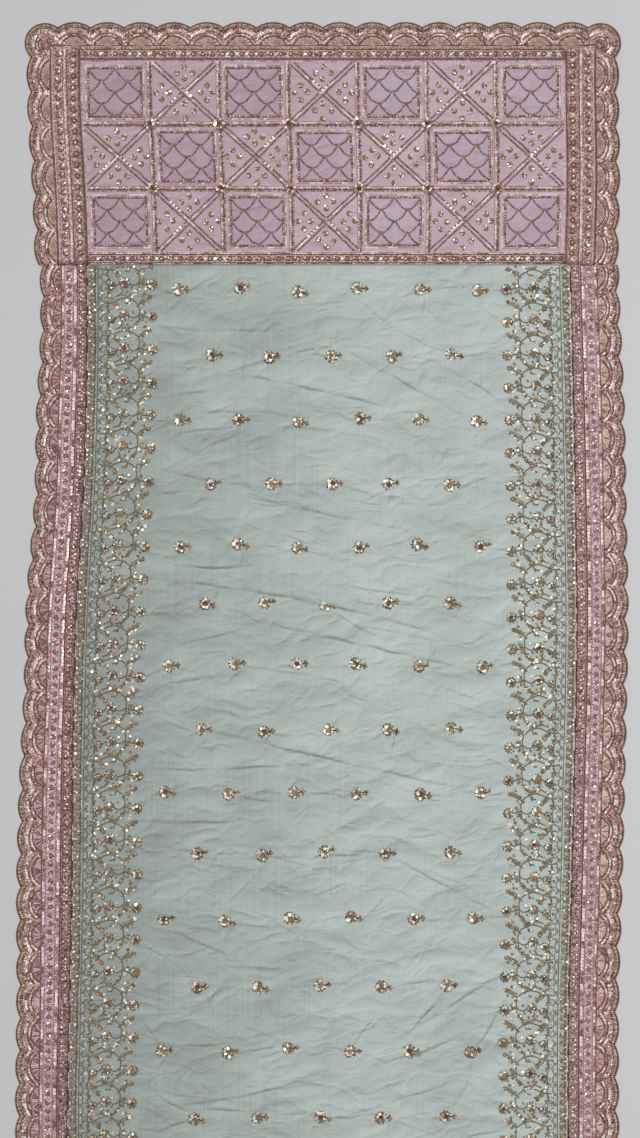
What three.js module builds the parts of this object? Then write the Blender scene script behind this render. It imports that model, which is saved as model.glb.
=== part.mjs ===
// A net saree laid flat: a mint net body with a scalloped lilac border down both sides,
// and a lilac pallu across its +Y end. Millimetres, +Z up, lying on the plane Z = 0.
// A place on the cloth is (x, s): x to the right, s the distance from the pallu's tips.
import * as THREE from "three";

// ---- Driving sizes ----
const LENGTH = 5500; // pallu tips to the plain end
const PALLU_END = 461; // the pallu's lower edge
const NET_SEAM = 455; // where the pallu's net meets the body's net
const SEAM = 0.3; // clearance between pieces that are sewn together
const WALL = 1.2; // net with the thread on it
const TAPE = { wall: 1.0, crown: 0.5 }; // beaded tapes, which lie over the seams
const SCALLOP = { pitch: 62.2, rise: 8, steps: 4 };
const FAN = { dome: 0.8, at: 22 }; // each scallop's thick fan, inward from the tips
const SIDE_FAN = { dome: 0.45, at: 16 }; // flatter where the wide tape covers its foot
const PALLU_SIDE_SCALLOPS = 6;
const PALLU_TOP = { scallops: 16, rise: 10 };
const CORNER = { depth: 51, across: 15, down: 16, bulge: 11 }; // the round corner lobe
const LOBE = { steps: 5, spacing: 6 }; // points on each half of a corner lobe
const PALLU_TAPE = { from: 44, to: 102 }; // inward from the tips, on the pallu's sides
const TOP_TAPE = { from: 51, to: 72 }; // s of the tape along the pallu's top
const BOTTOM_TAPE = { from: 440, to: 460 }; // s of the tape over the pallu's lower seam
const BODY_TAPE_WIDTH = 21;
const END_HEM_WIDTH = 12;
const LEAST_STEP = 1 / 8; // share of a step that no two places along an edge go under
const LATTICE = { columns: 7, rows: 3, ridge: 0.8, reach: 4 }; // corded squares of the pallu
const VINE_BAND = 0.14; // share of the net's width, each side, that the vines keep flat
const NET_CELLS = 10; // columns of the net between the two bands of vines
const FOLD = { reach: 22, fade: 60, leastRowGap: 6 }; // half width, run-out at the ends, row gap
const CREASE_REPEAT = 1660; // the folds come again, turned over, this far along
const LARGE_FOLD = 4.6; // the further stretches hold only the folds this high

// x of the two edges along the pallu, at the scallops' tips.
const PALLU_EDGES = [
  { s: 0, left: -557, right: 568 },
  { s: 160, left: -558, right: 568 },
  { s: 300, left: -548, right: 571 },
  { s: 461, left: -542, right: 566 },
];

// x of the body's edges at the scallops' tips, and of the seams between border and net.
const BODY_EDGES = [
  { s: 461, left: -533, leftSeam: -440, rightSeam: 473, right: 567 },
  { s: 600, left: -531, leftSeam: -440, rightSeam: 477, right: 573 },
  { s: 740, left: -541, leftSeam: -442, rightSeam: 480, right: 580 },
  { s: 900, left: -542, leftSeam: -447, rightSeam: 483, right: 582 },
  { s: 1110, left: -561, leftSeam: -461, rightSeam: 486, right: 587 },
  { s: 1270, left: -563, leftSeam: -465, rightSeam: 485, right: 584 },
  { s: 1440, left: -573, leftSeam: -468, rightSeam: 480, right: 580 },
  { s: 1640, left: -578, leftSeam: -469, rightSeam: 476, right: 575 },
  { s: 1850, left: -577, leftSeam: -473, rightSeam: 470, right: 568 },
  { s: 2060, left: -580, leftSeam: -478, rightSeam: 469, right: 568 },
  { s: 2500, left: -574, leftSeam: -474, rightSeam: 474, right: 573 },
  { s: 2950, left: -562, leftSeam: -463, rightSeam: 484, right: 583 },
  { s: 3400, left: -567, leftSeam: -468, rightSeam: 480, right: 579 },
  { s: 3900, left: -577, leftSeam: -476, rightSeam: 471, right: 570 },
  { s: 4400, left: -570, leftSeam: -470, rightSeam: 477, right: 576 },
  { s: 4900, left: -563, leftSeam: -464, rightSeam: 482, right: 581 },
  { s: 5500, left: -569, leftSeam: -469, rightSeam: 476, right: 575 },
];

// The first stretch's soft folds across the net, from the pallu down: each runs from
// (x0, s0) to (x1, s1), sags by so much at its middle, and stands so high.
const FOLDS = [
  { x0: -304, s0: 578, x1: -86, s1: 583, sag: 3, height: 4.0 },
  { x0: 57, s0: 627, x1: 285, s1: 752, sag: 0, height: 6.5 },
  { x0: -175, s0: 663, x1: 190, s1: 745, sag: -4, height: 5.5 },
  { x0: -228, s0: 741, x1: -38, s1: 749, sag: -6, height: 5.0 },
  { x0: -294, s0: 851, x1: -95, s1: 882, sag: 4, height: 3.5 },
  { x0: -110, s0: 908, x1: 161, s1: 962, sag: 0, height: 4.2 },
  { x0: -319, s0: 1056, x1: 294, s1: 1184, sag: -20, height: 5.5 },
  { x0: -118, s0: 1136, x1: 323, s1: 1236, sag: 0, height: 6.0 },
  { x0: -218, s0: 1341, x1: 313, s1: 1463, sag: 2, height: 6.5 },
  { x0: -323, s0: 1416, x1: -110, s1: 1412, sag: 3, height: 4.0 },
  { x0: -332, s0: 1516, x1: -133, s1: 1512, sag: 4, height: 5.0 },
  { x0: -200, s0: 1588, x1: 123, s1: 1577, sag: 0, height: 3.6 },
  { x0: 142, s0: 1588, x1: 313, s1: 1676, sag: 0, height: 6.0 },
  { x0: -256, s0: 1735, x1: -123, s1: 1792, sag: 0, height: 5.5 },
  { x0: 171, s0: 1915, x1: 342, s1: 1806, sag: 0, height: 5.0 },
  { x0: 95, s0: 1982, x1: 285, s1: 1915, sag: 4, height: 5.5 },
  { x0: -304, s0: 2056, x1: 0, s1: 1992, sag: 14, height: 5.5 },
  { x0: 38, s0: 2080, x1: 247, s1: 2012, sag: 0, height: 4.2 },
];

// ---- The cloth's edges ----
const mix = (a, b, t) => a + (b - a) * t;
const clamp01 = (t) => Math.min(1, Math.max(0, t));

// Reads a column of a table of stations at s. It runs straight between two stations, so
// two pieces whose edges turn only at the stations keep an even seam.
function along(table, column, s) {
  const last = table.length - 2;
  let i = 0;
  while (i < last && s > table[i + 1].s) i++;
  const [a, b] = [table[i], table[i + 1]];
  return mix(a[column], b[column], clamp01((s - a.s) / (b.s - a.s)));
}

// Height of a circular arc above its chord, at share t of the chord.
function arcRise(t, chord, rise) {
  const radius = (chord * chord) / (8 * rise) + rise / 2;
  const offset = chord * (t - 0.5);
  return Math.sqrt(radius * radius - offset * offset) - (radius - rise);
}

const SIDES = {
  left: { out: -1, edge: "left", seam: "leftSeam", phase: 0 },
  right: { out: 1, edge: "right", seam: "rightSeam", phase: 12 },
};

const palluTip = (side, s) => along(PALLU_EDGES, side.edge, s);
const bodyTip = (side, s) => along(BODY_EDGES, side.edge, s);
const bodySeam = (side, s) => along(BODY_EDGES, side.seam, s);

// The join under a tape is at the tape's middle line.
const bodyJoin = (side, s) => bodySeam(side, s) + (side.out * BODY_TAPE_WIDTH) / 2;
const TOP_JOIN = (TOP_TAPE.from + TOP_TAPE.to) / 2;

// Where a corner's mitre ends, as far past the lobe's inner corner across as down.
function cornerJoin(side) {
  const past = TOP_JOIN - CORNER.depth;
  return palluTip(side, CORNER.depth) - side.out * (PALLU_TAPE.from + past);
}

// The pallu's side joins run straight from the mitre to the lower seam.
function palluJoin(side, s) {
  const end = palluTip(side, PALLU_END) - (side.out * (PALLU_TAPE.from + PALLU_TAPE.to)) / 2;
  return mix(cornerJoin(side), end, (s - TOP_JOIN) / (PALLU_END - TOP_JOIN));
}

// The inner corner that a corner lobe turns about, and the lobe's outline from the
// notch on the pallu's top (t = 0) to the notch on its side (t = 1).
function cornerLobe(side, t) {
  const centre = {
    x: palluTip(side, CORNER.depth) - side.out * PALLU_TAPE.from,
    s: CORNER.depth,
  };
  const notches = [
    { x: centre.x - side.out * CORNER.across, s: PALLU_TOP.rise },
    {
      x: palluTip(side, centre.s + CORNER.down) - side.out * SCALLOP.rise,
      s: centre.s + CORNER.down,
    },
  ];
  const [a, b] = notches.map((n) => ({
    r: Math.hypot(n.x - centre.x, n.s - centre.s),
    turn: Math.atan2(side.out * (n.x - centre.x), centre.s - n.s),
  }));
  const r = mix(a.r, b.r, t) + CORNER.bulge * Math.sin(Math.PI * t);
  const turn = mix(a.turn, b.turn, t);
  return {
    x: centre.x + side.out * r * Math.sin(turn),
    s: centre.s - r * Math.cos(turn),
  };
}

// ---- Solids from points and faces ----

// A wall from points {x, s, low, high} and triangles of their numbers. The underside may
// have coarser triangles of its own, which reach the same outline.
function wallGeometry(points, triangles, underTriangles = triangles) {
  const count = points.length;
  const y = (p) => LENGTH / 2 - p.s;
  const facingUp = ([a, b, c]) => {
    const [p, q, r] = [points[a], points[b], points[c]];
    const area = (q.x - p.x) * (y(r) - y(p)) - (r.x - p.x) * (y(q) - y(p));
    return area > 0 ? [a, b, c] : [a, c, b];
  };
  const position = [
    ...points.flatMap((p) => [p.x, y(p), p.high]),
    ...points.flatMap((p) => [p.x, y(p), p.low]),
  ];
  const index = [];
  const edges = new Set();
  for (const [a, b, c] of triangles.map(facingUp)) {
    index.push(a, b, c);
    for (const [from, to] of [[a, b], [b, c], [c, a]]) edges.add(from + " " + to);
  }
  for (const [a, b, c] of underTriangles.map(facingUp)) {
    index.push(c + count, b + count, a + count);
  }
  for (const edge of edges) {
    const [from, to] = edge.split(" ").map(Number);
    if (edges.has(to + " " + from)) continue;
    index.push(from + count, to + count, to);
    index.push(from + count, to, from);
  }
  const used = [...new Set(index)].sort((a, b) => a - b);
  const renumbered = new Map(used.map((old, place) => [old, place]));
  const kept = used.flatMap((old) => position.slice(3 * old, 3 * old + 3));
  return new THREE.BufferGeometry()
    .setAttribute("position", new THREE.Float32BufferAttribute(kept, 3))
    .setIndex(index.map((old) => renumbered.get(old)));
}

// Triangles between two chains of point numbers, kept level with each other by their
// places along the tape.
function zip(chainA, chainB, placeOf) {
  const triangles = [];
  const middle = (chain, i) => placeOf(chain[i]) + placeOf(chain[i + 1]);
  let [i, j] = [0, 0];
  while (i < chainA.length - 1 || j < chainB.length - 1) {
    const endA = i === chainA.length - 1;
    const endB = j === chainB.length - 1;
    if (endB || (!endA && middle(chainA, i) <= middle(chainB, j))) {
      triangles.push([chainA[i], chainA[i + 1], chainB[j]]);
      i++;
    } else {
      triangles.push([chainA[i], chainB[j], chainB[j + 1]]);
      j++;
    }
  }
  return triangles;
}

// A wall over a grid of points, given row by row.
function gridGeometry(rows) {
  const width = rows[0].length;
  const triangles = [];
  for (let r = 0; r < rows.length - 1; r++) {
    for (let c = 0; c < width - 1; c++) {
      const corner = r * width + c;
      triangles.push([corner, corner + 1, corner + width + 1]);
      triangles.push([corner, corner + width + 1, corner + width]);
    }
  }
  return wallGeometry(rows.flat(), triangles);
}

// A scalloped border: an outer chain along the scallops, an inner chain along the join,
// and between them a chain that rises at the middle of each scallop's fan.
function scallopGeometry(outer, domes, inner) {
  const flat = (p) => ({ ...p, low: 0, high: WALL + (p.dome ?? 0) });
  const points = [...outer, ...domes, ...inner].map(flat);
  const numbers = points.map((_, i) => i);
  const outerChain = numbers.slice(0, outer.length);
  const domeChain = [0, ...numbers.slice(outer.length, outer.length + domes.length)];
  domeChain.push(outer.length - 1);
  const innerChain = numbers.slice(outer.length + domes.length);
  const place = (i) => points[i].place;
  const rim = zip(outerChain, innerChain, place);
  // The dome chain starts and ends on the outer chain, so the end walls stay plain.
  const top = [
    ...zip(outerChain, domeChain, place).filter((t) => new Set(t).size === 3),
    ...zip(domeChain, innerChain, place),
  ];
  return wallGeometry(points, top, rim);
}

// ---- The borders ----

// Places from one end to the other, at every whole step counted from an offset.
function stepsBetween(from, to, step, offset) {
  const least = step * LEAST_STEP;
  const places = [from];
  for (let k = Math.ceil((from - offset) / step); offset + k * step < to; k++) {
    const place = offset + k * step;
    if (place > from + least && place < to - least) places.push(place);
  }
  return [...places, to];
}

// The same places with the body's stations put in, each in place of any that is too near.
function withStations(places) {
  const near = SCALLOP.pitch / 4;
  const stations = BODY_EDGES.slice(1, -1).map((row) => row.s);
  const apart = (s) => stations.every((station) => Math.abs(station - s) > near);
  return [...places.filter(apart), ...stations].sort((a, b) => a - b);
}

function bodyEdge(side) {
  const from = PALLU_END + SEAM;
  const origin = PALLU_END - side.phase;
  const share = (s) => (((s - origin) / SCALLOP.pitch) % 1 + 1) % 1;
  const outer = stepsBetween(from, LENGTH, SCALLOP.pitch / SCALLOP.steps, origin).map((s) => ({
    x: bodyTip(side, s) - side.out * (SCALLOP.rise - arcRise(share(s), SCALLOP.pitch, SCALLOP.rise)),
    s,
    place: s,
  }));
  const domes = stepsBetween(from, LENGTH, SCALLOP.pitch / 2, origin).slice(1, -1).map((s) => ({
    x: bodyTip(side, s) - side.out * FAN.at,
    s,
    place: s,
    dome: FAN.dome * Math.sin(Math.PI * share(s)),
  }));
  const inner = withStations(stepsBetween(from, LENGTH, SCALLOP.pitch, origin)).map((s) => ({
    x: bodyJoin(side, s) + side.out * (SEAM / 2),
    s,
    place: s,
  }));
  return scallopGeometry(outer, domes, inner);
}

// Half a corner lobe's outline. The mitre at its tip is cut back by half a seam.
function lobeHalf(side, fromT, toT, cut) {
  const points = [];
  for (let k = 0; k <= LOBE.steps; k++) {
    const t = mix(fromT, toT, k / LOBE.steps);
    const p = cornerLobe(side, t);
    const mitred = t === 0.5;
    points.push(mitred ? { x: p.x + cut.x, s: p.s + cut.s } : p);
  }
  return points;
}

const MITRE_CUT = SEAM * Math.SQRT1_2;

function palluEdgeSide(side) {
  const lobe = lobeHalf(side, 0.5, 1, { x: 0, s: MITRE_CUT });
  const notch = lobe.at(-1).s;
  const pitch = (PALLU_END - notch) / PALLU_SIDE_SCALLOPS;
  const share = (s) => ((s - notch) / pitch) % 1;
  const scallops = stepsBetween(notch, PALLU_END, pitch / SCALLOP.steps, notch).slice(1);
  const outer = [
    ...lobe.map((p, k) => ({ ...p, place: notch - (LOBE.steps - k) * LOBE.spacing })),
    ...scallops.map((s) => ({
      x: palluTip(side, s) - side.out * (SCALLOP.rise - arcRise(share(s), pitch, SCALLOP.rise)),
      s,
      place: s,
    })),
  ];
  const domes = stepsBetween(notch, PALLU_END, pitch / 2, notch).slice(0, -1).map((s) => ({
    x: palluTip(side, s) - side.out * SIDE_FAN.at,
    s,
    place: s,
    dome: SIDE_FAN.dome * Math.sin(Math.PI * share(s)),
  }));
  const start = TOP_JOIN + MITRE_CUT;
  const inner = stepsBetween(start, PALLU_END, pitch, notch).map((s) => ({
    x: palluJoin(side, s) + side.out * (SEAM / 2),
    s,
    place: s,
  }));
  return scallopGeometry(outer, domes, inner);
}

function palluEdgeTop() {
  const { left, right } = SIDES;
  const lobeLeft = lobeHalf(left, 0.5, 0, { x: MITRE_CUT, s: 0 });
  const lobeRight = lobeHalf(right, 0, 0.5, { x: -MITRE_CUT, s: 0 });
  const from = lobeLeft.at(-1).x;
  const to = lobeRight[0].x;
  const pitch = (to - from) / PALLU_TOP.scallops;
  const share = (x) => ((x - from) / pitch) % 1;
  const scallops = stepsBetween(from, to, pitch / SCALLOP.steps, from).slice(1, -1);
  const outer = [
    ...lobeLeft.map((p, k) => ({ ...p, place: from - (LOBE.steps - k) * LOBE.spacing })),
    ...scallops.map((x) => ({
      x,
      s: PALLU_TOP.rise - arcRise(share(x), pitch, PALLU_TOP.rise),
      place: x,
    })),
    ...lobeRight.map((p, k) => ({ ...p, place: to + k * LOBE.spacing })),
  ];
  const domes = stepsBetween(from, to, pitch / 2, from).map((x) => ({
    x,
    s: FAN.at,
    place: x,
    dome: FAN.dome * Math.sin(Math.PI * share(x)),
  }));
  const start = cornerJoin(left) + MITRE_CUT;
  const end = cornerJoin(right) - MITRE_CUT;
  const inner = stepsBetween(start, end, pitch, from).map((x) => ({
    x,
    s: TOP_JOIN - SEAM / 2,
    place: x,
  }));
  return scallopGeometry(outer, domes, inner);
}

// ---- The tapes, crowned along their middle, on top of the pieces they join ----
function tapeGeometry(stations, pointAt) {
  const low = WALL + SEAM;
  const rows = stations.map((place) =>
    [0, 0.5, 1].map((across) => ({
      ...pointAt(place, across),
      low,
      high: low + TAPE.wall + (across === 0.5 ? TAPE.crown : 0),
    })),
  );
  return gridGeometry(rows);
}

function bodyTape(side) {
  const places = [PALLU_END + SEAM, ...BODY_EDGES.slice(1).map((row) => row.s)];
  return tapeGeometry(places, (s, across) => ({
    x: bodySeam(side, s) + side.out * BODY_TAPE_WIDTH * across,
    s,
  }));
}

function palluTapeSide(side) {
  const stations = [CORNER.depth, ...PALLU_EDGES.slice(1).map((row) => row.s)];
  return tapeGeometry(stations, (s, across) => ({
    x: palluTip(side, s) - side.out * mix(PALLU_TAPE.from, PALLU_TAPE.to, across),
    s,
  }));
}

function palluTapeAcross(tape) {
  return tapeGeometry([0, 1], (end, across) => {
    const s = mix(tape.from, tape.to, across);
    const side = end === 0 ? SIDES.left : SIDES.right;
    return { x: palluTip(side, s) - side.out * (PALLU_TAPE.to + SEAM), s };
  });
}

function endHem() {
  return tapeGeometry([0, 1], (end, across) => {
    const s = LENGTH - END_HEM_WIDTH * across;
    const side = end === 0 ? SIDES.left : SIDES.right;
    return { x: bodySeam(side, s) - side.out * SEAM, s };
  });
}

// ---- The nets ----

// The pallu's net carries a lattice of cords, raised over a flat underside.
function palluNet() {
  const { reach, ridge } = LATTICE;
  const lines = (count) => {
    const places = [{ share: 0, shift: 0, up: 0 }];
    for (let k = 1; k < count; k++) {
      for (const shift of [-reach, 0, reach]) {
        places.push({ share: k / count, shift, up: shift === 0 ? ridge : 0 });
      }
    }
    return [...places, { share: 1, shift: 0, up: 0 }];
  };
  const field = { from: TOP_TAPE.to, to: BOTTOM_TAPE.from };
  const rows = lines(LATTICE.rows).map((row, r, all) => {
    const end = r === 0 || r === all.length - 1;
    const s = end
      ? [TOP_JOIN + SEAM / 2, NET_SEAM][r === 0 ? 0 : 1]
      : mix(field.from, field.to, row.share) + row.shift;
    return lines(LATTICE.columns).map((column, c, places) => {
      const { left, right } = SIDES;
      const inner = [palluTip(left, s) + PALLU_TAPE.to, palluTip(right, s) - PALLU_TAPE.to];
      const joins = [palluJoin(left, s) + SEAM / 2, palluJoin(right, s) - SEAM / 2];
      const atJoin = c === 0 || c === places.length - 1;
      const x = atJoin
        ? joins[c === 0 ? 0 : 1]
        : mix(inner[0], inner[1], column.share) + column.shift;
      const up = atJoin || end ? 0 : Math.max(row.up, column.up);
      return { x, s, low: 0, high: WALL + up };
    });
  });
  return gridGeometry(rows);
}

// A fold's line across the net, level beyond the fold's own ends, and its height.
function foldLine(fold, x) {
  const t = clamp01((x - fold.x0) / (fold.x1 - fold.x0));
  return mix(fold.s0, fold.s1, t) + fold.sag * 4 * t * (1 - t);
}

function foldHeight(fold, x) {
  const middle = (fold.x0 + fold.x1) / 2;
  const half = (fold.x1 - fold.x0) / 2 + FOLD.fade;
  const away = Math.min(1, Math.abs(x - middle) / half);
  return fold.height * Math.cos((Math.PI / 2) * away) ** 2;
}

// All folds: the first stretch, then the larger ones again, mirrored, then as they were.
function allFolds() {
  const large = FOLDS.filter((fold) => fold.height >= LARGE_FOLD);
  const mirrored = large.map((fold) => ({
    ...fold,
    x0: -fold.x1,
    s0: fold.s1 + CREASE_REPEAT,
    x1: -fold.x0,
    s1: fold.s0 + CREASE_REPEAT,
  }));
  const again = large.map((fold) => ({
    ...fold,
    s0: fold.s0 + 2 * CREASE_REPEAT,
    s1: fold.s1 + 2 * CREASE_REPEAT,
  }));
  return [...FOLDS, ...mirrored, ...again];
}

// Moves the nearest point of a chain to each station, where the joins turn.
function snapToStations(chain) {
  for (const { s } of BODY_EDGES.slice(1, -1)) {
    const away = chain.map((point) => Math.abs(point.s - s));
    chain[away.indexOf(Math.min(...away))].s = s;
  }
}

// The body's net: three rows of points for each fold, flat on the floor between them.
function bodyNet() {
  const { left, right } = SIDES;
  const shares = [0];
  for (let k = 0; k <= NET_CELLS; k++) shares.push(mix(VINE_BAND, 1 - VINE_BAND, k / NET_CELLS));
  shares.push(1);
  const start = NET_SEAM + SEAM;
  const across = (share, s) => mix(bodyJoin(left, s), bodyJoin(right, s), share);
  const rows = [shares.map(() => ({ s: start, up: 0 }))];
  for (const fold of allFolds()) {
    for (const shift of [-FOLD.reach, 0, FOLD.reach]) {
      rows.push(
        shares.map((share) => {
          const x = across(share, fold.s0);
          const crest = shift === 0 && share > 0 && share < 1;
          return { s: foldLine(fold, x) + shift, up: crest ? foldHeight(fold, x) : 0 };
        }),
      );
    }
  }
  rows.push(shares.map(() => ({ s: LENGTH, up: 0 })));
  for (let r = 1; r < rows.length; r++) {
    rows[r].forEach((point, c) => {
      point.s = Math.max(point.s, rows[r - 1][c].s + FOLD.leastRowGap);
    });
  }
  for (const c of [0, shares.length - 1]) snapToStations(rows.map((row) => row[c]));
  const points = rows.map((row) =>
    row.map(({ s, up }, c) => {
      const ends = [bodyJoin(left, s) + SEAM / 2, bodyJoin(right, s) - SEAM / 2];
      return { x: mix(ends[0], ends[1], shares[c]), s, low: up, high: up + WALL };
    }),
  );
  return gridGeometry(points);
}

// ---- Assembly ----
const cloth = (color, roughness, metalness) =>
  new THREE.MeshStandardMaterial({ color, roughness, metalness });

const MATERIALS = {
  mintNet: cloth("#a9b4af", 0.7, 0),
  lilacNet: cloth("#b5a2b3", 0.65, 0),
  scallops: cloth("#a57d82", 0.5, 0.25),
  beadedTape: cloth("#8e6862", 0.45, 0.35),
};

const PIECES = [
  { name: "pallu_net", geometry: palluNet(), material: "lilacNet" },
  { name: "pallu_edge_top", geometry: palluEdgeTop(), material: "scallops" },
  { name: "pallu_edge_left", geometry: palluEdgeSide(SIDES.left), material: "scallops" },
  { name: "pallu_edge_right", geometry: palluEdgeSide(SIDES.right), material: "scallops" },
  { name: "pallu_band_top", geometry: palluTapeAcross(TOP_TAPE), material: "beadedTape" },
  { name: "pallu_band_bottom", geometry: palluTapeAcross(BOTTOM_TAPE), material: "beadedTape" },
  { name: "pallu_band_left", geometry: palluTapeSide(SIDES.left), material: "beadedTape" },
  { name: "pallu_band_right", geometry: palluTapeSide(SIDES.right), material: "beadedTape" },
  { name: "body_net", geometry: bodyNet(), material: "mintNet" },
  { name: "edge_left", geometry: bodyEdge(SIDES.left), material: "scallops" },
  { name: "edge_right", geometry: bodyEdge(SIDES.right), material: "scallops" },
  { name: "band_left", geometry: bodyTape(SIDES.left), material: "beadedTape" },
  { name: "band_right", geometry: bodyTape(SIDES.right), material: "beadedTape" },
  { name: "end_hem", geometry: endHem(), material: "mintNet" },
];

const laid = new THREE.Group();
for (const { name, geometry, material } of PIECES) {
  geometry.computeVertexNormals();
  const mesh = new THREE.Mesh(geometry, MATERIALS[material]);
  mesh.name = name;
  laid.add(mesh);
}

// The origin is on the floor, under the middle of the cloth's own box.
const box = new THREE.Box3().setFromObject(laid);
const middle = box.getCenter(new THREE.Vector3());
laid.position.set(-middle.x, -middle.y, -box.min.z);

const saree = new THREE.Group();
saree.add(laid);
export default saree;
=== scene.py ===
"""A net saree laid flat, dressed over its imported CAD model.

Lengths are millimetres until a mesh is made. A spot on the cloth is (x, s, z): x to the right,
s the distance from the pallu's tips, and z the height of the cloth's upper face there.
"""
import math

import bpy
import numpy as np
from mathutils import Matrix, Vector
from mathutils.geometry import delaunay_2d_cdt


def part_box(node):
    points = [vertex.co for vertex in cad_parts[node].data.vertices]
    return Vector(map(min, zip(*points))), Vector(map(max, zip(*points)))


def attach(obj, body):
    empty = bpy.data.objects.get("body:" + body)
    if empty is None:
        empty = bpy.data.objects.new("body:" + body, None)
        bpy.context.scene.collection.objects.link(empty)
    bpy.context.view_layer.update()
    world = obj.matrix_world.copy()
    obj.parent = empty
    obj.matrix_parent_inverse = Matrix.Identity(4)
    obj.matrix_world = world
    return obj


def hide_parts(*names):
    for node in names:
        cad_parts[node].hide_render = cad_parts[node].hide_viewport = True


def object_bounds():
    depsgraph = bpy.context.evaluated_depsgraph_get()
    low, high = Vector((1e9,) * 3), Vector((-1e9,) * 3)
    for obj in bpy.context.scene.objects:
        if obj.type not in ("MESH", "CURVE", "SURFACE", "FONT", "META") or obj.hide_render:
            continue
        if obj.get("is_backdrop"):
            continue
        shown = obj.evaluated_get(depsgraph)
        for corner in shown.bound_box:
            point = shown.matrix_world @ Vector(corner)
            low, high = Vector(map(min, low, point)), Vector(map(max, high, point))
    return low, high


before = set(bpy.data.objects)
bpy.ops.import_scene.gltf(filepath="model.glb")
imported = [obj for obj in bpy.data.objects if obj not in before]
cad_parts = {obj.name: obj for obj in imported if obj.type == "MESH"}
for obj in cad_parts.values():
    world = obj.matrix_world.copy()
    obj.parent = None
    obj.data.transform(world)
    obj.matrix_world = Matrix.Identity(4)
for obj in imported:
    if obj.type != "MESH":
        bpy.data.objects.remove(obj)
cad_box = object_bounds()

# ---- Sizes that the CAD model has too ----
LENGTH = 5500
PALLU_END = 461
NET_SEAM = 455
SEAM = 0.3
WALL = 1.2
TAPE_LOW = WALL + SEAM
TAPE = {"wall": 1.0, "crown": 0.5}
PITCH = 62.2
RISE = 8
FAN = {"dome": 0.8, "at": 22, "reach": 11}
SIDE_FAN = {"dome": 0.45, "at": 16, "reach": 9, "join": 75}
BORDER_DEPTH = 97
BODY_TAPE = 21
PHASE = {"left": 0, "right": 12}
OUT = {"left": -1, "right": 1}
PALLU_TAPE = (44, 102)
TOP_TAPE = (51, 72)
BOTTOM_TAPE = (440, 460)
TOP_JOIN = sum(TOP_TAPE) / 2
TOP_RISE = 10
TOP_SCALLOPS = 16
SIDE_SCALLOPS = 6
CORNER = {"depth": 51, "across": 15, "down": 16, "bulge": 11}
LATTICE = {"columns": 7, "rows": 3, "ridge": 0.8, "width": 3.2}
SQUARE = {"across": 133, "down": 123}
WINDOW = {"left": 0.115, "right": 0.885, "top": 0.125, "bottom": 0.875, "rows": 4}
STRIP_SPAN = (50, 67)
END_HEM = 12
REPEAT = 1660
LARGE_FOLD = 4.6
NEAR_END = 2140  # past this the same work is made of fewer, plainer stitches

# x of the pallu's edges and of the body's edges and seams at stations along the cloth.
PALLU_EDGES = {
    "s": [0, 160, 300, 461],
    "left": [-557, -558, -548, -542],
    "right": [568, 568, 571, 566],
}
BODY_EDGES = {
    "s": [461, 600, 740, 900, 1110, 1270, 1440, 1640, 1850, 2060, 2500, 2950, 3400, 3900, 4400,
          4900, 5500],
    "left": [-533, -531, -541, -542, -561, -563, -573, -578, -577, -580, -574, -562, -567, -577,
             -570, -563, -569],
    "left_seam": [-440, -440, -442, -447, -461, -465, -468, -469, -473, -478, -474, -463, -468,
                  -476, -470, -464, -469],
    "right_seam": [473, 477, 480, 483, 486, 485, 480, 476, 470, 469, 474, 484, 480, 471, 477,
                   482, 476],
    "right": [567, 573, 580, 582, 587, 584, 580, 575, 568, 568, 573, 583, 579, 570, 576, 581,
              575],
}
MIDDLE_X = min(BODY_EDGES["left_seam"]) - (BODY_TAPE - SEAM) / 2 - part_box("body_net")[0].x * 1000

# The soft folds that the CAD model has: x0, s0, x1, s1, sag, height.
FOLDS = [
    (-304, 578, -86, 583, 3, 4.0), (57, 627, 285, 752, 0, 6.5), (-175, 663, 190, 745, -4, 5.5),
    (-228, 741, -38, 749, -6, 5.0), (-294, 851, -95, 882, 4, 3.5), (-110, 908, 161, 962, 0, 4.2),
    (-319, 1056, 294, 1184, -20, 5.5), (-118, 1136, 323, 1236, 0, 6.0),
    (-218, 1341, 313, 1463, 2, 6.5), (-323, 1416, -110, 1412, 3, 4.0),
    (-332, 1516, -133, 1512, 4, 5.0), (-200, 1588, 123, 1577, 0, 3.6),
    (142, 1588, 313, 1676, 0, 6.0), (-256, 1735, -123, 1792, 0, 5.5),
    (171, 1915, 342, 1806, 0, 5.0), (95, 1982, 285, 1915, 4, 5.5),
    (-304, 2056, 0, 1992, 14, 5.5), (38, 2080, 247, 2012, 0, 4.2),
]

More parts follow.
